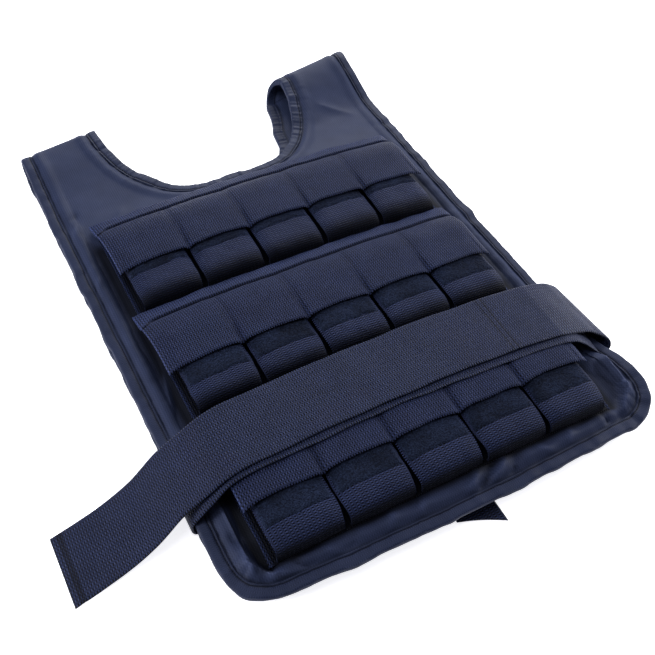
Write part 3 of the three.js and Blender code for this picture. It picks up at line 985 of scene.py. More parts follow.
@dataclass(frozen=True)
class Crease:
    """A soft ridge or valley in the cloth, from one place to another, in millimetres.

    Args:
        start_x, start_y: where it starts on the pattern.
        end_x, end_y: where it ends.
        height: half its height, less than 0 for a valley.
        width: how far it reaches to each side.
    """

    start_x: float
    start_y: float
    end_x: float
    end_y: float
    height: float
    width: float

    def relief(self, x: np.ndarray, y: np.ndarray) -> np.ndarray:
        """Its height at each point, sharp along the middle and faded at both ends.

        Args:
            x, y: places on the pattern.

        Returns:
            Height over the cloth, twice the named height along the crest.
        """
        dx, dy = self.end_x - self.start_x, self.end_y - self.start_y
        size = math.hypot(dx, dy)
        from_x, from_y = x - self.start_x, y - self.start_y
        along = (from_x * dx + from_y * dy) / size**2
        off = (from_x * dy - from_y * dx) / size
        fade = smooth(-0.15, 0.25, along) * (1.0 - smooth(0.75, 1.15, along))
        return 2.0 * self.height * fade * np.exp(-(np.abs(off / self.width) ** 1.3))


@dataclass
class Panels:
    """The two padded panels, the tape that binds them, and its stitches."""

    pattern: VestPattern
    wardrobe: Wardrobe
    thread: StitchRun
    pad_fill: float = 0.35
    rim_roll: float = 1.9
    rim_roll_at: float = 18.5
    row_seam_x: float = 176.0
    row_seam_depth: float = 2.4
    front_rim: tuple[float, ...] = (0, 3, 6, 9, 10.5, 11.5, 12.5, 13.5, 15, 16.5, 18, 19.5, 21)
    back_rim: tuple[float, ...] = (0, 5, 10, 12, 14, 17, 20)
    tape_seam: float = 8.2
    creases: tuple[tuple[float, ...], ...] = (
        (-181, -30, -181, -104, 2.5, 3.0), (-187, -62, -172, -84, -1.4, 2.6),
        (-174, -78, -167, -110, -2.0, 3.4), (-182, -92, -166, -116, 2.4, 2.6),
        (-170, -110, -146, -121, 2.4, 2.8), (-152, -106, -134, -122, -1.6, 2.8),
        (-124, -108, -112, -124, 1.1, 3.0), (-96, -108, -108, -124, -1.3, 3.4),
        (-60, -106, -70, -124, 1.2, 3.4), (-30, -107, -44, -124, 1.1, 3.4),
        (42, -104, 18, -122, -2.8, 3.0), (54, -104, 32, -122, 2.3, 3.0),
        (24, -106, 6, -122, 1.9, 3.0), (64, -108, 50, -122, -1.2, 3.0),
        (84, -108, 96, -122, 1.3, 3.2), (120, -106, 112, -121, 1.3, 3.2),
        (156, -100, 160, -117, -1.2, 3.2), (202, -46, 198, -104, 2.3, 3.0),
        (198, -96, 176, -113, 1.5, 3.0), (188, -56, 182, -92, -1.6, 4.0),
        (-181, 64, -173, 109, 1.0, 3.0), (-173, 120, -180, 176, -1.1, 3.2),
        (136, 402, 170, 372, 0.8, 6.0), (-186, 250, -200, 214, 1.2, 4.0),
        (-180, 330, -200, 300, 1.3, 5.0), (-176, 352, -196, 330, -1.0, 4.0),
        (180, -50, 208, -62, 0.9, 3.6), (184, -82, 208, -90, -0.9, 4.0),
        (-130, 335, -150, 305, 0.7, 6.0),
    )

    def relief(self, x: np.ndarray, y: np.ndarray, edge: np.ndarray, run: np.ndarray) -> np.ndarray:
        """Unevenness of the front's outer face.

        Args:
            x, y: places on the pattern.
            edge: distance to the nearest bound edge.
            run: distance along that edge.

        Returns:
            Height to add along the outward normal.
        """
        low = 1.0 - smooth(-60.0, 40.0, y)
        roll = (self.rim_roll + 0.4 * low) * hump(edge, self.rim_roll_at, 6.0)
        pucker = Ripple(5, 9.0)(run, 0.0 * run) + 0.6 * Ripple(8, 15.0)(run, 0.4 * edge)
        some = np.clip(0.5 + 0.9 * Ripple(9, 90.0)(x, y), 0.0, 1.0)
        pucker = (0.3 + 0.9 * low) * some * pucker
        pucker = pucker * smooth(9.0, 12.0, edge) * (1.0 - smooth(15.0, 34.0, edge))
        billow = 1.5 * Ripple(13, 62.0)(x, y) * smooth(168.0, 186.0, np.abs(x))
        billow = billow * smooth(12.0, 22.0, edge)
        calm = 1.0 - 0.6 * smooth(290.0, 330.0, y)
        swell = 0.5 * Ripple(11, 75.0)(x, y) + 0.25 * Ripple(12, 24.0)(x, y)
        swell = calm * swell + billow * calm
        swell = swell + low * 1.5 * Ripple(15, 26.0)(x, y) * smooth(12.0, 20.0, edge)
        swell = swell * smooth(10.0, 26.0, edge)
        folds = sum(Crease(*numbers).relief(x, y) for numbers in self.creases)
        folds = folds * smooth(9.0, 15.0, edge)
        sewn = -self.row_seam_depth * hump(np.abs(x), self.row_seam_x, 6.5)
        sewn = sewn * smooth(-120.0, -100.0, y)
        sewn = sewn * (1.0 - smooth(290.0, 310.0, y))
        tug = 0.5 * Ripple(21, 11.0)(y, 0.2 * x) * hump(np.abs(x), 183.0, 9.0)
        beside_rows = 1.0 - smooth(self.pattern.pocket_top_y, 330.0, y)
        return roll + pucker + swell + folds + (sewn + tug) * beside_rows

    def panel(self, leaf: Leaf, back: bool) -> ClothWall:
        """The padded wall of one leaf.

        Args:
            leaf: its stations.
            back: whether it is the back.

        Returns:
            The wall.
        """
        p = self.pattern
        pad_in = p.binding_width + p.pad_taper
        rim = np.array([*(self.back_rim if back else self.front_rim), pad_in])
        even = np.linspace(0.0, 1.0, 20 if back else 60)[1:-1]
        shares = mix(even, 0.5 - 0.5 * np.cos(math.pi * even), 0.62)
        near = leaf.neck[:, None] + leaf.neck_in[:, None] * rim[None, :, None]
        far = leaf.outer[:, None] + leaf.outer_in[:, None] * rim[None, ::-1, None]
        inside = mix(near[:, -1:], far[:, :1], shares[None, :, None])
        places = np.concatenate([near, inside, far], 1)
        span = np.linalg.norm(far[:, :1] - near[:, -1:], axis=-1)
        middle = pad_in + np.minimum(shares, 1.0 - shares)[None, :] * span
        near_rim, far_rim = (np.tile(part, (len(span), 1)) for part in (rim, rim[::-1]))
        edge = np.concatenate([near_rim, middle, far_rim], 1)
        x, y = places[..., 0], places[..., 1]
        turn = np.repeat(leaf.neck_turn[:, None], places.shape[1], 1)
        centre = p.surface(x, y, turn)
        out = p.outward(x, y, turn)
        half = mix(p.bound_thickness / 2.0, p.pad_thickness / 2.0, smooth(10.0, 18.0, edge))
        run = self.edge_run(leaf, places.shape[1], len(rim) + len(shares) // 2)
        calm = np.where(turn == 0.0, 1.0, 0.25)
        extra = self.relief(x, y, edge, run) * calm
        if back:
            extra = (0.8 * Ripple(31, 60.0)(x, y) - 0.8) * smooth(14.0, 40.0, edge) * 0.3
        top = centre + out * (half + np.maximum(extra, -half * 0.6))[..., None]
        bottom = centre - out * half[..., None]
        if back:
            top[..., 2] = np.maximum(top[..., 2], p.floor_gap)
        # Painted shade at the binding, in folds and by the pocket rows; painted highlight on
        # ridges.
        painted_shading = hump(edge, 10.8, 1.3) * 0.55 + 0.35 * smooth(0.4, 1.6, -extra)
        painted_shading = painted_shading - 0.35 * smooth(2.4, 5.0, extra)
        front = turn == 0.0
        beside = (1.0 - smooth(170.0, 182.0, np.abs(x))) * (1.0 - smooth(285.0, 300.0, y)) * front
        foot = hump(y, -104.0, 5.0) * (1.0 - smooth(164.0, 174.0, np.abs(x))) * front
        painted_shading = np.clip(painted_shading + 0.95 * beside * smooth(-108.0, -104.0, y) + 0.7 * foot, -0.4, 1.0)
        over_fold = p.shoulder(x, "fold_radius") * np.where(turn < math.pi, turn, 0.0)
        cut = np.stack([x, y + over_fold], -1)
        return ClothWall("back_pad" if back else "front_pad", top, bottom, cut, painted_shading)

    @staticmethod
    def edge_run(leaf: Leaf, columns: int, split: int) -> np.ndarray:
        """Distance along the nearer edge, for each point of a leaf's grid.

        Args:
            leaf: the stations.
            columns: how many columns the grid has.
            split: the first column that counts to the outer edge.

        Returns:
            Rows by columns. The outer edge counts on from far away, so that its ripples differ.
        """
        apart = 900.0
        neck, outer = (run_along(edge)[:, None] for edge in (leaf.neck, leaf.outer))
        return np.where(np.arange(columns)[None, :] < split, neck, outer + apart)

    def binding(
        self, name: str, edge: np.ndarray, inward: np.ndarray, turn: np.ndarray
    ) -> ClothWall:
        """The tape folded round one edge of both leaves, as a ring.

        Args:
            name: name of the piece.
            edge: places round the edge.
            inward: directions into the cloth.
            turn: which leaf each place lies on.

        Returns:
            The tape's wall. The row of its stitches goes to the thread.
        """
        p = self.pattern
        out = p.binding_thickness / 2.0
        reach = p.binding_width - 1.0
        flat = np.array([reach, 9.2, 8.6, self.tape_seam, 7.8, 7.0, 5.4, 4.0, 2.4, 0.6])
        rib = 0.2 * hump(flat, 4.6, 2.6) - 0.5 * hump(flat, self.tape_seam, 0.6)
        turns = np.radians([60, 30, 0, -30, -60])
        nose = p.gap + p.binding_tape
        distance = np.concatenate([flat, -nose * np.cos(turns), flat[::-1]])
        height = np.concatenate([out + rib, out * np.sin(turns), -out - rib[::-1] * 0.5])
        inner_distance = np.maximum(distance, -p.gap)
        inner_height = np.clip(height, -(out - p.binding_tape), out - p.binding_tape)
        run = run_along(edge)
        wander = 1.1 * Ripple(41, 46.0)(run, 0.0 * run) + 1.0 * Ripple(42, 17.0)(run, 0.0 * run)
        pinch = 0.35 * Ripple(43, 8.0)(run, 0.0 * run) + 0.35 * Ripple(44, 21.0)(run, 0.0 * run)
        width = len(distance)
        lean = np.where(distance > 0.0, 0.5, 1.0)[None, :] * np.minimum(wander, 0.25)[:, None]
        along = distance[None, :] + lean
        base = edge[:, None] + inward[:, None] * along[..., None]
        turn_grid = np.repeat(turn[:, None], width, 1)
        centre = p.surface(base[..., 0], base[..., 1], turn_grid)
        normal = p.outward(base[..., 0], base[..., 1], turn_grid)
        lift = height[None, :] * (1.0 + pinch[:, None] * 0.5)
        top = centre + normal * lift[..., None]
        top[..., 2] = np.maximum(top[..., 2], p.floor_gap)
        base = edge[:, None] + inward[:, None] * inner_distance[None, :, None]
        centre = p.surface(base[..., 0], base[..., 1], turn_grid)
        bottom = centre + normal * inner_height[None, :, None]
        on_front = np.arange(width) < len(flat)
        # Painted shade along the tape's stitch groove.
        groove = np.where(on_front, hump(distance, self.tape_seam, 0.8), 0.0)
        painted_shading = np.repeat(groove[None, :], len(edge), 0)
        steps = np.cumsum(np.full(width, 1.6))[None, :] + 0 * along
        cut = np.stack([np.repeat(run[:, None], width, 1), steps], -1)
        seam = int(np.argmin(np.abs(flat - self.tape_seam)))
        self.thread.sew(top[::2, seam], normal[::2, seam])
        return ClothWall(name, top, bottom, cut, painted_shading, ringed=True)

    def build(self) -> None:
        """Makes the panels and their bindings."""
        p = self.pattern
        fine, coarse = LeafCutter(p), LeafCutter(p, 24, 12, 70, 6)
        front, back = fine.leaf(back=False), fine.leaf(back=True)
        pads = self.panel(front, back=False), self.panel(coarse.leaf(back=True), back=True)
        for pad, node in zip(pads, ("front_panel", "back_panel")):
            self.wardrobe.stuff(pad, NYLON, Slot.PANEL, node, self.pad_fill)
        turn = np.concatenate([front.neck_turn, back.neck_turn[::-1]])
        for label, edges, inwards in (
            ("outer", (front.outer, back.outer), (front.outer_in, back.outer_in)),
            ("neck", (front.neck, back.neck), (front.neck_in, back.neck_in)),
        ):
            edge = np.concatenate([edges[0], edges[1][::-1]])
            inward = np.concatenate([inwards[0], inwards[1][::-1]])
            wall = self.binding(f"edge_tape_{label}", edge, inward, turn)
            carriers = "front_panel", "back_panel"
            node = f"binding_{label}"
            self.wardrobe.lay(wall, TAPE, Slot.BINDING, node, Hold.FOLDED, *carriers)


@dataclass
class PocketRows:
    """Three rows of webbing pockets with their weight packs, loop tapes and flaps."""

    pattern: VestPattern
    wardrobe: Wardrobe
    thread: StitchRun
    pitch: float = 66.0
    count: int = 5
    flap_edge_y: tuple[float, ...] = (228.0, 93.5, -59.6)
    half_width: float = 31.0
    height: float = 19.0
    below: float = 44.0
    above: float = 70.0
    webbing: float = 1.7
    base_thickness: float = 1.5
    base_gap: float = 0.6
    base_margin: float = 4.0
    tape_thickness: float = 0.7
    tape_half: float = 0.94
    tape_under_flap: float = 12.0
    tape_shown: tuple[float, ...] = (8.0, 20.0, 21.0)
    flap_webbing: float = 1.8
    flap_length: float = 88.0
    flap_spread: float = 0.018
    corner_turn: float = 7.0
    flap_stitch: float = 70.5
    flap_overhang: float = 6.0
    flap_dip: float = 2.6
    flap_arch: float = 1.5
    flap_follow: float = 0.3
    # How far up each row's pocket fronts the painted shade at the foot reaches.
    foot_reach: tuple[float, ...] = (21.0, 16.0, 6.0)
    row_swell: tuple[float, ...] = (0.0, 0.3, 1.0)
    flap_shift: tuple[float, ...] = (1.5, -1.5, 0.0)
    edge_drop: float = 0.24
    lower_roll: float = 22.0
    upper_roll: float = 34.0
    flap_crest: float = 20.0
    flap_fall: float = 68.0
    flap_ramp: float = 1.3
    lower_power: float = 3.0
    band_height: float = 1.5
    groove_depth: float = 0.95
    channel_depth: float = 0.15
    unsewn: int = 4
    pack_fill: float = 0.9
    pack_half: float = 27.0
    pack_round: tuple[float, float] = (0.42, 0.55)

    @property
    def base_top(self) -> float:
        """Height of the base webbing's upper face over the panel."""
        return self.base_gap + self.base_thickness

    @property
    def row_half(self) -> float:
        """Half length of a row."""
        return self.count * self.pitch / 2.0

    def centres(self) -> list[float]:
        """X of each pocket's middle."""
        return [(number - (self.count - 1) / 2.0) * self.pitch for number in range(self.count)]

    def beside_centre(self, x: np.ndarray) -> np.ndarray:
        """How far each x lies from the middle of its own pocket.

        Args:
            x: places across the row.

        Returns:
            Offsets, less than 0 on the left.
        """
        last = self.count - 1
        number = np.clip(np.round(x / self.pitch + last / 2.0), 0, last)
        return x - (number - last / 2.0) * self.pitch

    def panel_top(self, x: np.ndarray, y: np.ndarray) -> np.ndarray:
        """Height of the front panel's upper face."""
        return self.pattern.front_height(x, y) + self.pattern.pad_thickness / 2.0

    def rise_along(self, along: np.ndarray) -> np.ndarray:
        """The pocket's outline seen from the side.

        Args:
            along: offsets from the flap's edge.

        Returns:
            Shares of the pocket's height.
        """
        low = np.clip((along + self.below) / self.lower_roll, 0.0, 1.0)
        high = np.clip((self.above - along) / self.upper_roll, 0.0, 1.0)
        first = (1.0 - (1.0 - low) ** self.lower_power) ** (1.0 / self.lower_power)
        second = (1.0 - (1.0 - high) ** 2.0) ** (1.0 / 2.4)
        return first * second

    def rise_across(self, share: np.ndarray) -> np.ndarray:
        """Share of a pocket's height at each share of its half width."""
        return 1.0 - self.edge_drop * np.abs(share) ** 4.5

    def build_base(self, row: int, flap_y: float) -> None:
        """The webbing that a row is sewn on.

        Args:
            row: number of the row, 1 at the top.
            flap_y: y of the flap's edge.
        """
        reach = self.row_half + self.base_margin
        ends = np.array([0.0, 1.0, 2.0, 3.2, 4.6])
        inside = np.linspace(-reach + 8.0, reach - 8.0, 60)
        x = np.concatenate([-reach + ends, inside, reach - ends[::-1]])[:, None]
        along = np.linspace(-self.below - 1.0, self.above + 1.0, 26)[None, :]
        y = flap_y + along + 0.6 * Ripple(60 + row, 60.0)(x, 0.0 * x)
        x = x + 0.8 * Ripple(64 + row, 40.0)(0.0 * along, along) * np.abs(x) / reach
        low = self.panel_top(x, y) + self.base_gap
        points = np.stack(np.broadcast_arrays(x, y, low), -1)
        top = points + [0.0, 0.0, self.base_thickness]
        grid_x, grid_y = np.broadcast_arrays(x, along)
        # Painted shade over the base webbing under the pockets, lighter only at its ends.
        painted_shading = 0.9 * smooth(1.5, 4.0, reach - np.abs(grid_x)) + 0.1
        wall = ClothWall(f"row_base_{row}", top, points, np.stack([grid_x, grid_y], -1), painted_shading)
        node = f"pocket_base_{row}"
        self.wardrobe.lay(wall, WEBBING, Slot.WEBBING, node, Hold.LAID, "front_panel")

    def face_points(
        self, centre: float, flap_y: float, share: np.ndarray, along: np.ndarray, seed: int
    ) -> np.ndarray:
        """Points of a pocket's outer face.

        Args:
            centre: x of the pocket's middle.
            flap_y: y of the flap's edge.
            share: shares of the half width, one per row.
            along: offsets from the flap's edge, one per column.
            seed: makes each pocket differ a little.

        Returns:
            Grid of points, shares by offsets.
        """
        dice = np.random.default_rng(seed)
        lean, plump = dice.uniform(-0.5, 0.5), dice.uniform(-0.35, 0.25)
        share, along = share[:, None], along[None, :]
        tuck = 1.0 - 0.03 * (1.0 - smooth(0.0, 18.0, along + self.below))
        swell = self.row_swell[seed // 100 - 1] * hump(along, -self.below / 3.0, 22.0)
        side_wave = 0.4 * Ripple(seed, 30.0)(along, 0.0 * share) * np.abs(share) ** 3
        x = centre + share * (self.half_width * tuck + swell) + side_wave
        rise = self.rise_along(along) * self.rise_across(share)
        bow = 0.9 * (1.0 - share**2) * (1.0 - smooth(0.0, 14.0, along + self.below))
        y = flap_y + along + lean * share - bow
        cloth = 0.30 * Ripple(seed + 1, 17.0)(x, y) + 0.45 * Ripple(seed + 2, 38.0)(x, y)
        tug = 0.5 * Ripple(seed + 3, 7.5)(along, 2.0 * share) * np.abs(share) ** 6
        full = (self.height - self.base_top) * rise + (plump + cloth + tug) * rise * 0.8
        floor = self.panel_top(x, flap_y + along) + self.base_top
        z = floor + np.maximum(full, 0.0) + self.pattern.gap
        return np.stack(np.broadcast_arrays(x, y, z), -1)

    def offsets(self) -> np.ndarray:
        """Places the columns of a pocket face.

        Returns:
            Offsets from the flap's edge, dense where the face turns down.
        """
        angle = np.linspace(0.0, math.pi / 2.0, 24)
        low = -self.below + self.lower_roll * (1.0 - np.cos(angle) ** (2.0 / self.lower_power))
        flat = np.linspace(low[-1], self.above - self.upper_roll, 24)[1:-1]
        high = self.above - self.upper_roll * (1.0 - np.cos(angle[::-2]) ** (2.0 / 2.4))
        return np.concatenate([low, flat, high])

    def build_pocket(self, row: int, number: int, centre: float, flap_y: float) -> None:
        """A pocket face, the pack in it and the loop tape on it.

        Args:
            row: number of the row.
            number: number of the pocket, 1 at the left.
            centre: x of the pocket's middle.
            flap_y: y of the flap's edge.
        """
        label = f"{row}_{number}"
        seed = 100 * row + 10 * number
        share = np.sin(np.linspace(-math.pi / 2.0, math.pi / 2.0, 34) * 0.98)
        share = share / share[-1]
        along = self.offsets()
        outer = self.face_points(centre, flap_y, share, along, seed)
        normal = grid_normals(outer)
        normal = normal * np.sign(normal[len(share) // 2, len(along) // 2, 2])
        inner = outer - normal * self.webbing
        floor = self.panel_top(inner[..., 0], inner[..., 1]) + self.base_top + self.pattern.gap
        inner[..., 2] = np.maximum(inner[..., 2], floor)
        inner[..., 1] = np.clip(inner[..., 1], outer[..., 1].min() + 0.5, outer[..., 1].max() - 0.5)
        # Painted shade at the pocket's foot, eased at its side edges.
        reach = np.abs(share)[:, None] + 0.0 * along[None, :]
        foot = 1.0 - smooth(0.0, self.foot_reach[row - 1], along + self.below) + 0.0 * reach
        painted_shading = np.clip(foot - 0.5 * smooth(0.975, 1.0, reach), 0.0, 1.0)
        run = run_along(outer[len(share) // 2])
        across = (centre + share * self.half_width)[:, None]
        cut = np.stack(np.broadcast_arrays(run[None, :], across), -1)
        wall = ClothWall(f"pocket_{label}", outer, inner, cut, painted_shading, sharp=60.0)
        node = f"pocket_face_{label}"
        self.wardrobe.lay(wall, WEBBING, Slot.WEBBING, node, Hold.STRETCHED, f"weight_{label}")
        self.build_tape(label, row, centre, flap_y, seed)
        self.build_pack(label, centre, flap_y)

    def build_tape(self, label: str, row: int, centre: float, flap_y: float, seed: int) -> None:
        """The fuzzy loop tape sewn on a pocket face.

        Args:
            label: row and number of the pocket.
            row: number of the row.
            centre: x of the pocket's middle.
            flap_y: y of the flap's edge.
            seed: the pocket's own seed.
        """
        shown = self.tape_shown[row - 1]
        share = np.linspace(-self.tape_half, self.tape_half, 48)
        along = np.linspace(-shown, self.tape_under_flap, 30)
        face = self.face_points(centre, flap_y, share, along, seed)
        face[..., 1] += 0.9 * Ripple(seed + 7, 16.0)(face[..., 0], 0.0 * face[..., 0])
        side = (self.tape_half - np.abs(share))[:, None] * self.half_width
        end = (along + shown)[None, :]
        rim = np.minimum(smooth(0.0, 1.6, side), smooth(0.0, 2.2, end))
        selvedge = 1.0 - smooth(1.0, 2.0, side) + 0.0 * end
        fine = Ripple(seed + 4, 2.6, 16)(face[..., 0], face[..., 1])
        pile = 0.22 * fine + 0.2 * Ripple(seed + 5, 5.2, 12)(face[..., 0], face[..., 1])
        full = 0.15 + self.tape_thickness * rim + pile * rim * (1.0 - selvedge)
        low = face + [0.0, 0.0, 0.05]
        top = face + np.stack([0.0 * full, 0.0 * full, full + 0.1], -1)
        # Painted shade in the pile's valleys; painted highlight on the selvedges.
        painted_shading = 0.25 * np.clip(-pile * 4.0, 0.0, 1.0) - 0.5 * selvedge + 0.0 * side
        cut = np.stack([face[..., 1], face[..., 0]], -1)
        wall = ClothWall(f"loop_strip_{label}", top, low, cut, painted_shading)
        node = f"loop_tape_{label}"
        self.wardrobe.lay(wall, PILE, Slot.PILE, node, Hold.LAID, f"pocket_face_{label}")

    def build_pack(self, label: str, centre: float, flap_y: float) -> None:
        """The weight pack that fills a pocket.

        Args:
            label: row and number of the pocket.
            centre: x of the pocket's middle.
            flap_y: y of the flap's edge.
        """
        low = self.base_top + 0.6
        high = self.height - self.webbing - 0.7
        angle = np.linspace(0.0, 2.0 * math.pi, 25)[:-1]
        round_x, round_z = (
            np.sign(wave) * np.abs(wave) ** power
            for wave, power in zip((np.cos(angle), np.sin(angle)), self.pack_round)
        )
        start, stop = -0.8 * self.below, 0.78 * self.above
        along = mix(start, stop, 0.5 - 0.5 * np.cos(np.linspace(0.0, math.pi, 18)))
        tall = np.clip(self.rise_along(along) - 0.05, 0.1, 1.0) * 0.94
        tall[0], tall[-1] = 0.25, 0.25
        x = centre + self.pack_half * round_x[None, :] * (0.93 + 0.07 * tall[:, None])
        y = flap_y + along[:, None] + 0.0 * x
        middle = low + (high - low) * tall[:, None] * 0.46
        z = self.panel_top(x, y) + middle + (middle - low) * round_z[None, :]
        outer = np.stack([x, y, z], -1)
        heart = outer.mean(1, keepdims=True)
        inner = heart + (outer - heart) * 0.04
        cut = np.stack([y, x], -1)
        grids = (np.swapaxes(grid, 0, 1) for grid in (outer, inner, cut))
        wall = ClothWall(f"pack_{label}", *grids, ringed=True)
        self.wardrobe.stuff(wall, PACK, Slot.PACK, f"weight_{label}", self.pack_fill)

    def flap_low(self, x: np.ndarray, along: np.ndarray, flap_y: float) -> np.ndarray:
        """Height of a flap's lower face.

        Args:
            x: places across the row.
            along: offsets from the flap's edge.
            flap_y: y of the flap's edge.

        Returns:
            Height over the floor, with dips between the pockets.
        """
        off = self.beside_centre(x)
        share = np.minimum(np.abs(off) / self.half_width, 1.0)
        between = np.abs(off) - self.pitch / 2.0
        across = mix(1.0, self.rise_across(share), self.flap_follow)
        over = np.clip((along - self.flap_crest) / self.flap_fall, 0.0, 1.0)
        slope = 1.0 - over**self.flap_ramp
        bulk = (self.height - self.base_top) * np.maximum(self.rise_along(along), slope) * across
        lower = 1.0 - smooth(4.0, 34.0, along)
        dip = self.flap_dip * np.exp(-((between / 2.4) ** 2)) * (0.12 + 0.88 * lower)
        dip = dip * (1.0 - smooth(0.0, 1.0, np.abs(x) - self.row_half + 2.0))
        hang = 0.35 * np.maximum(np.abs(x) - self.row_half + 1.0, 0.0)
        lift = self.pattern.gap * 4.0 + self.tape_thickness + 0.7
        return self.panel_top(x, flap_y + along) + self.base_top + bulk + lift - dip - hang

    def build_flap(self, row: int, flap_y: float) -> None:
        """A flap with its hem band, its stitches and its channels.

        Args:
            row: number of the row.
            flap_y: y of the flap's edge.
        """
        reach = self.row_half + self.flap_overhang
        seams = [self.pitch * (number - self.count / 2.0) for number in range(1, self.count)]
        x_line = np.linspace(-reach, reach, 180)
        beside = np.array([-3.4, -2.6, -1.8, 1.8, 2.6, 3.4])
        x_line = np.unique(np.concatenate([x_line, *(seam + beside for seam in seams)]))
        stitch = self.flap_stitch
        along = np.concatenate(
            [
                np.linspace(0.0, 3.0, 5)[:-1],
                np.linspace(3.0, stitch - 10.5, 24),
                stitch + np.linspace(-9.0, 3.0, 17),
                np.linspace(stitch + 4.5, self.flap_length, 7),
            ]
        )
        x, share = x_line[:, None], along[None, :]
        local = self.beside_centre(x) / (self.pitch / 2.0)
        edge_fade = 1.0 - smooth(0.0, 16.0, share)
        arch = self.flap_arch * (1.0 - np.abs(local) ** 3.0) * edge_fade
        y = flap_y + share + arch - 0.6 * edge_fade + 0.7 * Ripple(70 + row, 45.0)(x, 0.02 * share)
        top_edge = smooth(stitch, self.flap_length, share)
        y = y + top_edge * (0.8 * Ripple(76 + row, 22.0)(x, 0.0 * x) + 1.2 * np.abs(local) ** 4)
        cloth = 0.22 * Ripple(80 + row, 26.0)(x, y) + 0.35 * Ripple(84 + row, 60.0)(x, y)
        low_z = self.flap_low(x, share, flap_y) + np.maximum(cloth, -0.3) + 0.35
        near_end = (1.0 - smooth(2.0, 17.0, reach - np.abs(x))) * np.where(x < 0.0, 1.0, 0.3)
        stitch_line = stitch - self.corner_turn * near_end
        groove = hump(share, stitch_line, 1.1)
        channel = sum(hump(np.abs(x - seam), 2.6, 0.7) for seam in seams)
        channel = channel * smooth(6.0, 12.0, share) * (1.0 - smooth(stitch - 3.0, stitch, share))
        band = smooth(0.5, 2.4, share - stitch_line) * self.band_height
        rim = smooth(0.0, 1.4, share) * smooth(0.0, 1.4, self.flap_length - share)
        rim = rim * smooth(0.0, 1.6, reach - np.abs(x))
        body = self.flap_webbing * (0.45 + 0.55 * rim) + band
        body = body - self.groove_depth * groove - self.channel_depth * channel
        widening = 1.0 + self.flap_spread * smooth(20.0, self.flap_length, share)
        wide_x = x * widening + self.flap_shift[row - 1]
        grid_x, grid_y = np.broadcast_arrays(wide_x, y)
        low = np.stack([grid_x, grid_y, low_z], -1)
        top = low + np.stack([0.0 * body, 0.0 * body, body], -1)
        # Painted shade in the groove, channels and lower edge; painted highlight on selvedge and
        # band.
        selvedge = 1.0 - smooth(0.8, 2.0, reach - np.abs(x)) + 0.0 * share
        painted_shading = np.clip(groove + 0.3 * channel + 0.3 * (1.0 - smooth(0.0, 1.0, share)), 0.0, 1.0)
        painted_shading = painted_shading - 0.6 * selvedge - 0.4 * smooth(2.0, 5.0, share - stitch_line)
        cut = np.stack(np.broadcast_arrays(x, share), -1)
        wall = ClothWall(f"flap_cover_{row}", top, low, cut, painted_shading)
        under = f"loop_tape_{row}_3"
        self.wardrobe.lay(wall, WEBBING, Slot.WEBBING, f"flap_{row}", Hold.FOLDED, under)
        at = np.broadcast_to(stitch_line, (len(x_line), 1))[:, 0]
        normal = grid_normals(top)
        normal = normal * np.sign(normal[..., 2:3])
        sewn = range(self.unsewn, len(at) - self.unsewn)
        line, up = (
            np.concatenate([at_runs(at[i : i + 1], along, grid[i]) for i in sewn])
            for grid in (top, normal)
        )
        self.thread.sew(line, up)

    def build(self) -> None:
        """Makes all three rows."""
        for index, flap_y in enumerate(self.flap_edge_y):
            row = index + 1
            self.build_base(row, flap_y)
            for number, centre in enumerate(self.centres(), start=1):
                self.build_pocket(row, number, centre, flap_y)
            self.build_flap(row, flap_y)


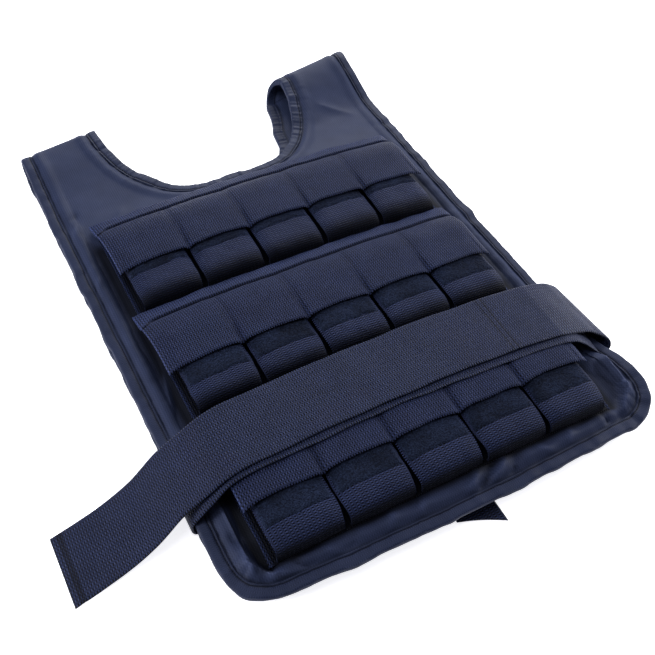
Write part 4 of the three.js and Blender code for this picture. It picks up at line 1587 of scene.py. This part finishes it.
@dataclass
class Belt:
    """The belt's two webbing runs and the strap end that shows past the hem."""

    pattern: VestPattern
    rows: PocketRows
    wardrobe: Wardrobe
    thread: StitchRun
    webbing: float = 2.2
    width: float = 66.0
    lift: float = 0.8
    seam_x: float = -70.0
    wrap_out: float = 6.5
    end_x: float = -314.0
    under_end_x: float = 203.0
    centre_y: float = -2.0
    under_y: float = -9.0
    beside_row: float = 24.0
    fall_length: float = 84.0
    under_droop: float = 21.0
    wrap_shift: tuple[tuple[float, float, float], ...] = (
        (0.0, 0.0, 0.0), (0.20, 3.0, 0.0), (0.42, 5.0, 0.0), (0.48, 7.0, 0.0),
        (0.53, 8.5, -1.0), (0.60, 9.0, -5.0), (0.67, 9.5, -10.0), (0.75, 9.0, -12.5),
        (0.85, 7.0, -9.5), (1.0, 0.0, -1.0),
    )
    wrap_reach: tuple[tuple[float, float], ...] = (
        (0.3, 0.0), (0.48, -9.0), (0.60, -7.0), (0.8, 0.0),
    )
    under_rise: float = 5.0
    under_fall: tuple[tuple[float, ...], ...] = (
        (120.0, 165.0, 186.0, 203.0),
        (0.0, -1.0, -6.0, -7.0),
    )
    under_top: float = 22.0
    far_sink: float = 0.4
    seam_half: float = 2.6
    right_seam_x: float = 113.0
    end_seams: tuple[float, float] = (9.0, 6.5)

    def under_z(self, x: np.ndarray) -> np.ndarray:
        """Height of the lower run's middle over the pockets.

        Args:
            x: places across the vest.

        Returns:
            Height at each of them.
        """
        r = self.rows
        lift = 3.0 * self.pattern.gap + r.tape_thickness
        top = r.panel_top(x, 0.0 * x) + r.height + self.pattern.gap + lift + r.flap_webbing
        return top + self.lift + self.webbing / 2.0

    def over_z(self, x: np.ndarray) -> np.ndarray:
        """Height of the upper run's middle over the pockets."""
        return self.under_z(x) + self.webbing + self.lift

    def middle(self, over: bool) -> np.ndarray:
        """Knots of a run's middle line.

        Args:
            over: whether it is the upper run.

        Returns:
            Points from the seam under the vest to the free end.
        """
        half = self.pattern.half_width
        row = self.rows.row_half
        wrap = half + self.wrap_out
        floor = self.webbing / 2.0
        if over:
            cy = self.centre_y
            top = float(self.over_z(np.array(row)))
            first = [
                (self.seam_x, cy, 0), (half * 0.4, cy, 0), (half - 16, cy, 0), (half - 4, cy, 0),
                (half + 3, cy, 0.015), (wrap + 1.5, cy, 0.08), (wrap + 4, cy, 0.2),
                (wrap + 4, -1, 0.39), (wrap - 1, 0, 0.62), (wrap - 11, 1, 0.81),
                (wrap - 26, 2, 0.94),
            ]
            last = [
                (-row - self.beside_row, 0, 0.78), (-wrap + 1, cy, 0.56), (-wrap - 29, -11, 0.27),
                (-wrap - 59, -17, 0.08), (-wrap - self.fall_length, -21, 0), (self.end_x, -25, 0),
            ]
            shares = np.linspace(0.0, 1.0, 5)
            x = mix(row, -row, shares)
            level = np.stack([x, 2.0 + 4.0 * np.sin(math.pi * shares), self.over_z(x)], 1)
        else:
            uy = self.under_y
            top = float(self.under_z(np.array(row)))
            first = [
                (self.seam_x - self.pattern.seam_gap, -5, 0), (-half * 0.7, -7, 0),
                (-half + 16, uy, 0), (-half + 4, uy, 0), (-half - 2, uy, 0.01),
                (-half - 4, uy, 0.07), (-half - 4.5, uy, 0.2), (-half - 3.5, uy, 0.36),
                (-half + 3, uy, 0.53), (-row - self.beside_row + 2, -7, 0.76),
            ]
            last = []
            shares = np.linspace(0.0, 1.0, 5)
            x = mix(-row, row, shares)
            level = np.stack([x, mix(-3.0, -11.0, shares**2), self.under_z(x)], 1)
        rising = [[x, y, mix(floor, top, share)] for x, y, share in first]
        falling = [[x, y, mix(floor, top, share)] for x, y, share in last]
        if not over:
            end = [self.under_end_x, -16.0, top - self.under_droop]
            falling = [[row + 16.0, -13.0, top - 3.0], end]
        return np.concatenate([np.array(rising), level, np.array(falling)])

    @staticmethod
    def even_line(knots: np.ndarray, step: float) -> np.ndarray:
        """A centripetal Catmull-Rom line, evenly spaced.

        Args:
            knots: the points that it passes.
            step: distance from point to point.

        Returns:
            Points on the line, none below the floor.
        """
        before = 2.0 * knots[:1] - knots[1:2]
        after = 2.0 * knots[-1:] - knots[-2:-1]
        padded = np.concatenate([before, knots, after])
        pieces = []
        for index in range(len(knots) - 1):
            a, b, c, d = padded[index : index + 4]
            gaps = [math.sqrt(float(np.linalg.norm(q - p))) for p, q in ((a, b), (b, c), (c, d))]
            slope_in = (b - a) / gaps[0] - (c - a) / (gaps[0] + gaps[1]) + (c - b) / gaps[1]
            slope_out = (c - b) / gaps[1] - (d - b) / (gaps[1] + gaps[2]) + (d - c) / gaps[2]
            slope_in, slope_out = slope_in * gaps[1], slope_out * gaps[1]
            share = np.linspace(0.0, 1.0, 60, endpoint=False)[:, None]
            pieces.append(
                b
                + slope_in * share
                + (-3.0 * b + 3.0 * c - 2.0 * slope_in - slope_out) * share**2
                + (2.0 * b - 2.0 * c + slope_in + slope_out) * share**3
            )
        line = np.concatenate([*pieces, knots[-1:]])
        line[:, 2] = np.maximum(line[:, 2], 1.1)
        run = run_along(line)
        return at_runs(np.linspace(0.0, run[-1], int(run[-1] / step) + 1), run, line)

    def strap(self, name: str, over: bool) -> ClothWall:
        """A webbing run along its middle line, with soft waves and rounded edges.

        Args:
            name: name of the piece.
            over: whether it is the upper run, which wraps the right edge and ends on the floor.

        Returns:
            The wall of the run. Its seams go to the thread.
        """
        line = self.even_line(self.middle(over), 2.4)
        run = run_along(line)
        below = 100.0 * (line[:, 2] < 30.0)
        seam_at = run[int(np.argmin(np.abs(line[:, 0] - self.right_seam_x) + below))]
        seams = [seam_at - self.seam_half, seam_at + self.seam_half] if over else []
        seams += [run[-1] - inset for inset in self.end_seams] if over else []
        dense = [seam + step for seam in seams for step in (-1.6, -0.8, 0.0, 0.8, 1.6)]
        clear = [all(abs(at - seam) >= 2.4 for seam in seams) for at in run]
        at = np.sort(np.concatenate([run[np.array(clear)], dense]))
        line = at_runs(at, run, line)
        ahead = np.gradient(line, axis=0)
        normal = unit(np.stack([ahead[:, 2], 0.0 * ahead[:, 0], -ahead[:, 0]], 1))
        half = self.width / 2.0
        selvedge = np.array([0.0, 0.7, 1.6])
        inside = np.linspace(-half + 3, half - 3, 24)
        across = np.concatenate([-half + selvedge, inside, (half - selvedge)[::-1]])
        run = run_along(line)
        points = line[:, None] + np.stack([0 * across, across, 0 * across], -1)[None]
        on_top = smooth(20.0, 40.0, line[:, 2])[:, None]
        seed = 90 if over else 95
        wave = (0.45 * Ripple(seed, 48.0)(run[:, None], across[None, :]) + 0.2) * on_top
        free = smooth(-215.0, -245.0, line[:, 0])[:, None] if over else 0.0 * on_top
        wave = wave + free * 0.5 * (1.0 + Ripple(seed + 1, 40.0)(run[:, None], across[None, :]))
        sway = 0.7 * Ripple(seed + 2, 70.0)(run, 0.0 * run) * on_top[:, 0]
        points[..., 1] += sway[:, None]
        facing = normal[:, None] * (-1.0 if over else 1.0)
        near = ((half - across) / self.width)[None, :]
        if over:
            turn = int(np.argmax(line[:, 0]))
            first = int(np.argmax(line[:, 0] > 165.0))
            last = turn + int(np.argmax(line[turn:, 0] < 165.0))
            share = np.interp(np.arange(len(line)), [first, turn, last], [0.0, 0.56, 1.0])
            table = np.array(self.wrap_shift)
            turning = (share > 0.0) & (share < 1.0)
            lean = np.where(turning, np.interp(share, table[:, 0], table[:, 1]), 0.0)
            points[..., 0] += lean[:, None] * near
            reach = np.array(self.wrap_reach)
            points[..., 1] += np.interp(share, reach[:, 0], reach[:, 1])[:, None] * near**2
            sink = np.interp(share, table[:, 0], table[:, 2]) * np.where(share > 0.99, 0.0, 1.0)
            settle = smooth(120.0, 165.0, line[:, 0]) * (np.arange(len(line)) >= last)
            points[..., 2] += (sink - settle)[:, None] * mix(self.far_sink, 1.0, near)
        else:
            fall = np.interp(line[:, 0], *self.under_fall) * (line[:, 2] > self.under_top)
            points[..., 2] += fall[:, None] * near
            points[..., 1] += self.under_rise * (on_top * smooth(-150.0, 0.0, line[:, 0])[:, None])
        body = self.webbing / 2.0
        rim = np.minimum(smooth(-0.1, 1.3, half - np.abs(across)), 1.0)[None, :]
        end = np.minimum(smooth(-0.2, 1.2, run), smooth(-0.2, 1.2, run[-1] - run))[:, None]
        thickness = body * (0.4 + 0.6 * rim * end)
        groove = sum((hump(run, seam, 0.9)[:, None] for seam in seams), 0.0 * wave)
        lift = np.maximum(wave, 0.0) if over else np.maximum(wave, 0.0) * 0.5
        top = points + facing * (thickness + lift - 0.8 * groove)[..., None]
        bottom = points + facing * (lift - thickness)[..., None]
        for side in (top, bottom):
            side[..., 2] = np.maximum(side[..., 2], 0.0 if side is bottom else 0.02)
        # Painted shade in the seams and along the edges.
        painted_shading = np.clip(groove + 0.3 * (1.0 - rim), 0.0, 1.0)
        cut = np.stack(np.broadcast_arrays(run[:, None], across[None, :]), -1)
        for seam in seams:
            index = int(np.argmin(np.abs(run - seam)))
            self.thread.sew(top[index, 2:-2], facing[index] + np.zeros_like(top[index, 2:-2]))
        return ClothWall(name, top, bottom, cut, painted_shading)

    def build(self) -> None:
        """Makes the belt and the rear strap end."""
        for name, node in (("belt_upper", "belt_over"), ("belt_lower", "belt_under")):
            wall = self.strap(name, over=node == "belt_over")
            self.wardrobe.lay(wall, BELTING, Slot.WEBBING, node, Hold.FOLDED, "flap_3")
        low, high = (Vector(v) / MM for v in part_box("rear_strap"))
        x = np.linspace(low.x, high.x, 36)[:, None]
        slant = np.interp(x, [low.x, high.x], [low.y + 12.0, low.y - 6.0])
        end = slant + 1.6 * np.sin((x - low.x) / (high.x - low.x) * math.pi)
        share = np.linspace(0.0, 1.0, 60)[None, :]
        y = mix(end, high.y, share)
        grid_x, grid_y = np.broadcast_arrays(x, y)
        base = np.stack([grid_x, grid_y, 0.0 * grid_x], -1)
        rim = smooth(-0.1, 1.2, (x - low.x)) * smooth(-0.1, 1.2, (high.x - x)) + 0.0 * share
        top = base + np.stack([0 * rim, 0 * rim, 0.5 + 0.7 * rim], -1)
        wall = ClothWall("strap_end", top, base, np.stack([grid_y, grid_x], -1))
        self.wardrobe.lay(wall, BELTING, Slot.WEBBING, "rear_strap", Hold.LAID)


# The studio


@dataclass(frozen=True)
class Lamp:
    """A soft box that points at the vest, its power a share of the studio's."""

    name: str
    place: tuple[float, float, float]
    size: tuple[float, float]
    share: float

    def light(self, power: float) -> None:
        """Hangs the lamp.

        Args:
            power: the studio's power in watts.
        """
        data = bpy.data.lights.new(self.name, "AREA")
        data.shape = "RECTANGLE"
        data.size, data.size_y = self.size
        data.energy = power * self.share
        lamp = bpy.data.objects.new(self.name, data)
        bpy.context.collection.objects.link(lamp)
        lamp.location = self.place
        aim = Vector((0.0, 0.1, 0.0)) - Vector(self.place)
        lamp.rotation_euler = aim.to_track_quat("-Z", "Y").to_euler()


@dataclass(frozen=True)
class Studio:
    """Floor, lights and camera."""

    camera_place: tuple[float, float, float] = (-0.29913, -0.39565, 0.69655)
    camera_turn: tuple[float, float, float] = (39.8334, -1.9585, -27.9662)
    lens: float = 50.835
    key_power: float = 46.0
    lamps: tuple[Lamp, ...] = (
        Lamp("key_box", (1.7, 3.4, 1.9), (3.2, 1.6), 4.1),
        Lamp("top_box", (-0.7, 0.3, 2.4), (1.6, 1.6), 0.5),
        Lamp("left_box", (-2.1, 0.5, 0.8), (0.8, 1.4), 1.15),
        Lamp("right_box", (1.7, 0.0, 0.7), (0.9, 0.9), 0.7),
    )
    sky_strength: float = 0.13

    def floor(self) -> None:
        """A pale floor."""
        bpy.ops.object.select_all(action="DESELECT")
        bpy.ops.mesh.primitive_plane_add(size=12.0, location=(0.0, 0.0, -0.0004))
        floor = bpy.context.active_object
        floor.name = "studio_floor"
        paint = bpy.data.materials.new("studio_paint")
        paint.use_nodes = True
        shader = paint.node_tree.nodes["Principled BSDF"]
        shader.inputs["Base Color"].default_value = (0.93, 0.93, 0.95, 1.0)
        shader.inputs["Roughness"].default_value = 0.9
        shader.inputs["Emission Color"].default_value = (0.97, 0.97, 1.0, 1.0)
        shader.inputs["Emission Strength"].default_value = 0.82
        floor.data.materials.append(paint)

    def build(self) -> None:
        """Sets the studio up."""
        self.floor()
        for lamp in self.lamps:
            lamp.light(self.key_power)
        world = bpy.data.worlds.new("studio_world")
        world.use_nodes = True
        sky = world.node_tree.nodes["Background"]
        sky.inputs["Color"].default_value = (1.0, 1.0, 1.0, 1.0)
        sky.inputs["Strength"].default_value = self.sky_strength
        bpy.context.scene.world = world
        bpy.context.scene.view_settings.view_transform = "Standard"
        camera = bpy.data.cameras.new("photo_camera")
        camera.lens = self.lens
        camera.sensor_width = 36.0
        camera.sensor_fit = "HORIZONTAL"
        camera.clip_end = 50.0
        stand = bpy.data.objects.new("photo_camera", camera)
        bpy.context.collection.objects.link(stand)
        stand.location = self.camera_place
        stand.rotation_euler = Euler([math.radians(angle) for angle in self.camera_turn])
        bpy.context.scene.camera = stand


def main() -> None:
    """Builds the vest and its studio."""
    logging.basicConfig(level=logging.INFO, format="%(message)s")
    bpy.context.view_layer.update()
    Studio().build()
    pattern = VestPattern()
    wardrobe = Wardrobe()
    flap_thread = StitchRun("flap_stitches")
    tape_thread = StitchRun("binding_stitches", pitch=3.0, length=2.1, radius=0.34)
    belt_thread = StitchRun("belt_stitches", pitch=3.0, length=2.2, radius=0.36)
    Panels(pattern, wardrobe, tape_thread).build()
    rows = PocketRows(pattern, wardrobe, flap_thread)
    rows.build()
    Belt(pattern, rows, wardrobe, belt_thread).build()
    wardrobe.dress(flap_thread.build(), THREAD, Slot.WEBBING)
    wardrobe.dress(tape_thread.build(), THREAD, Slot.BINDING)
    wardrobe.dress(belt_thread.build(), THREAD, Slot.WEBBING)


if __name__ == "__main__":
    main()
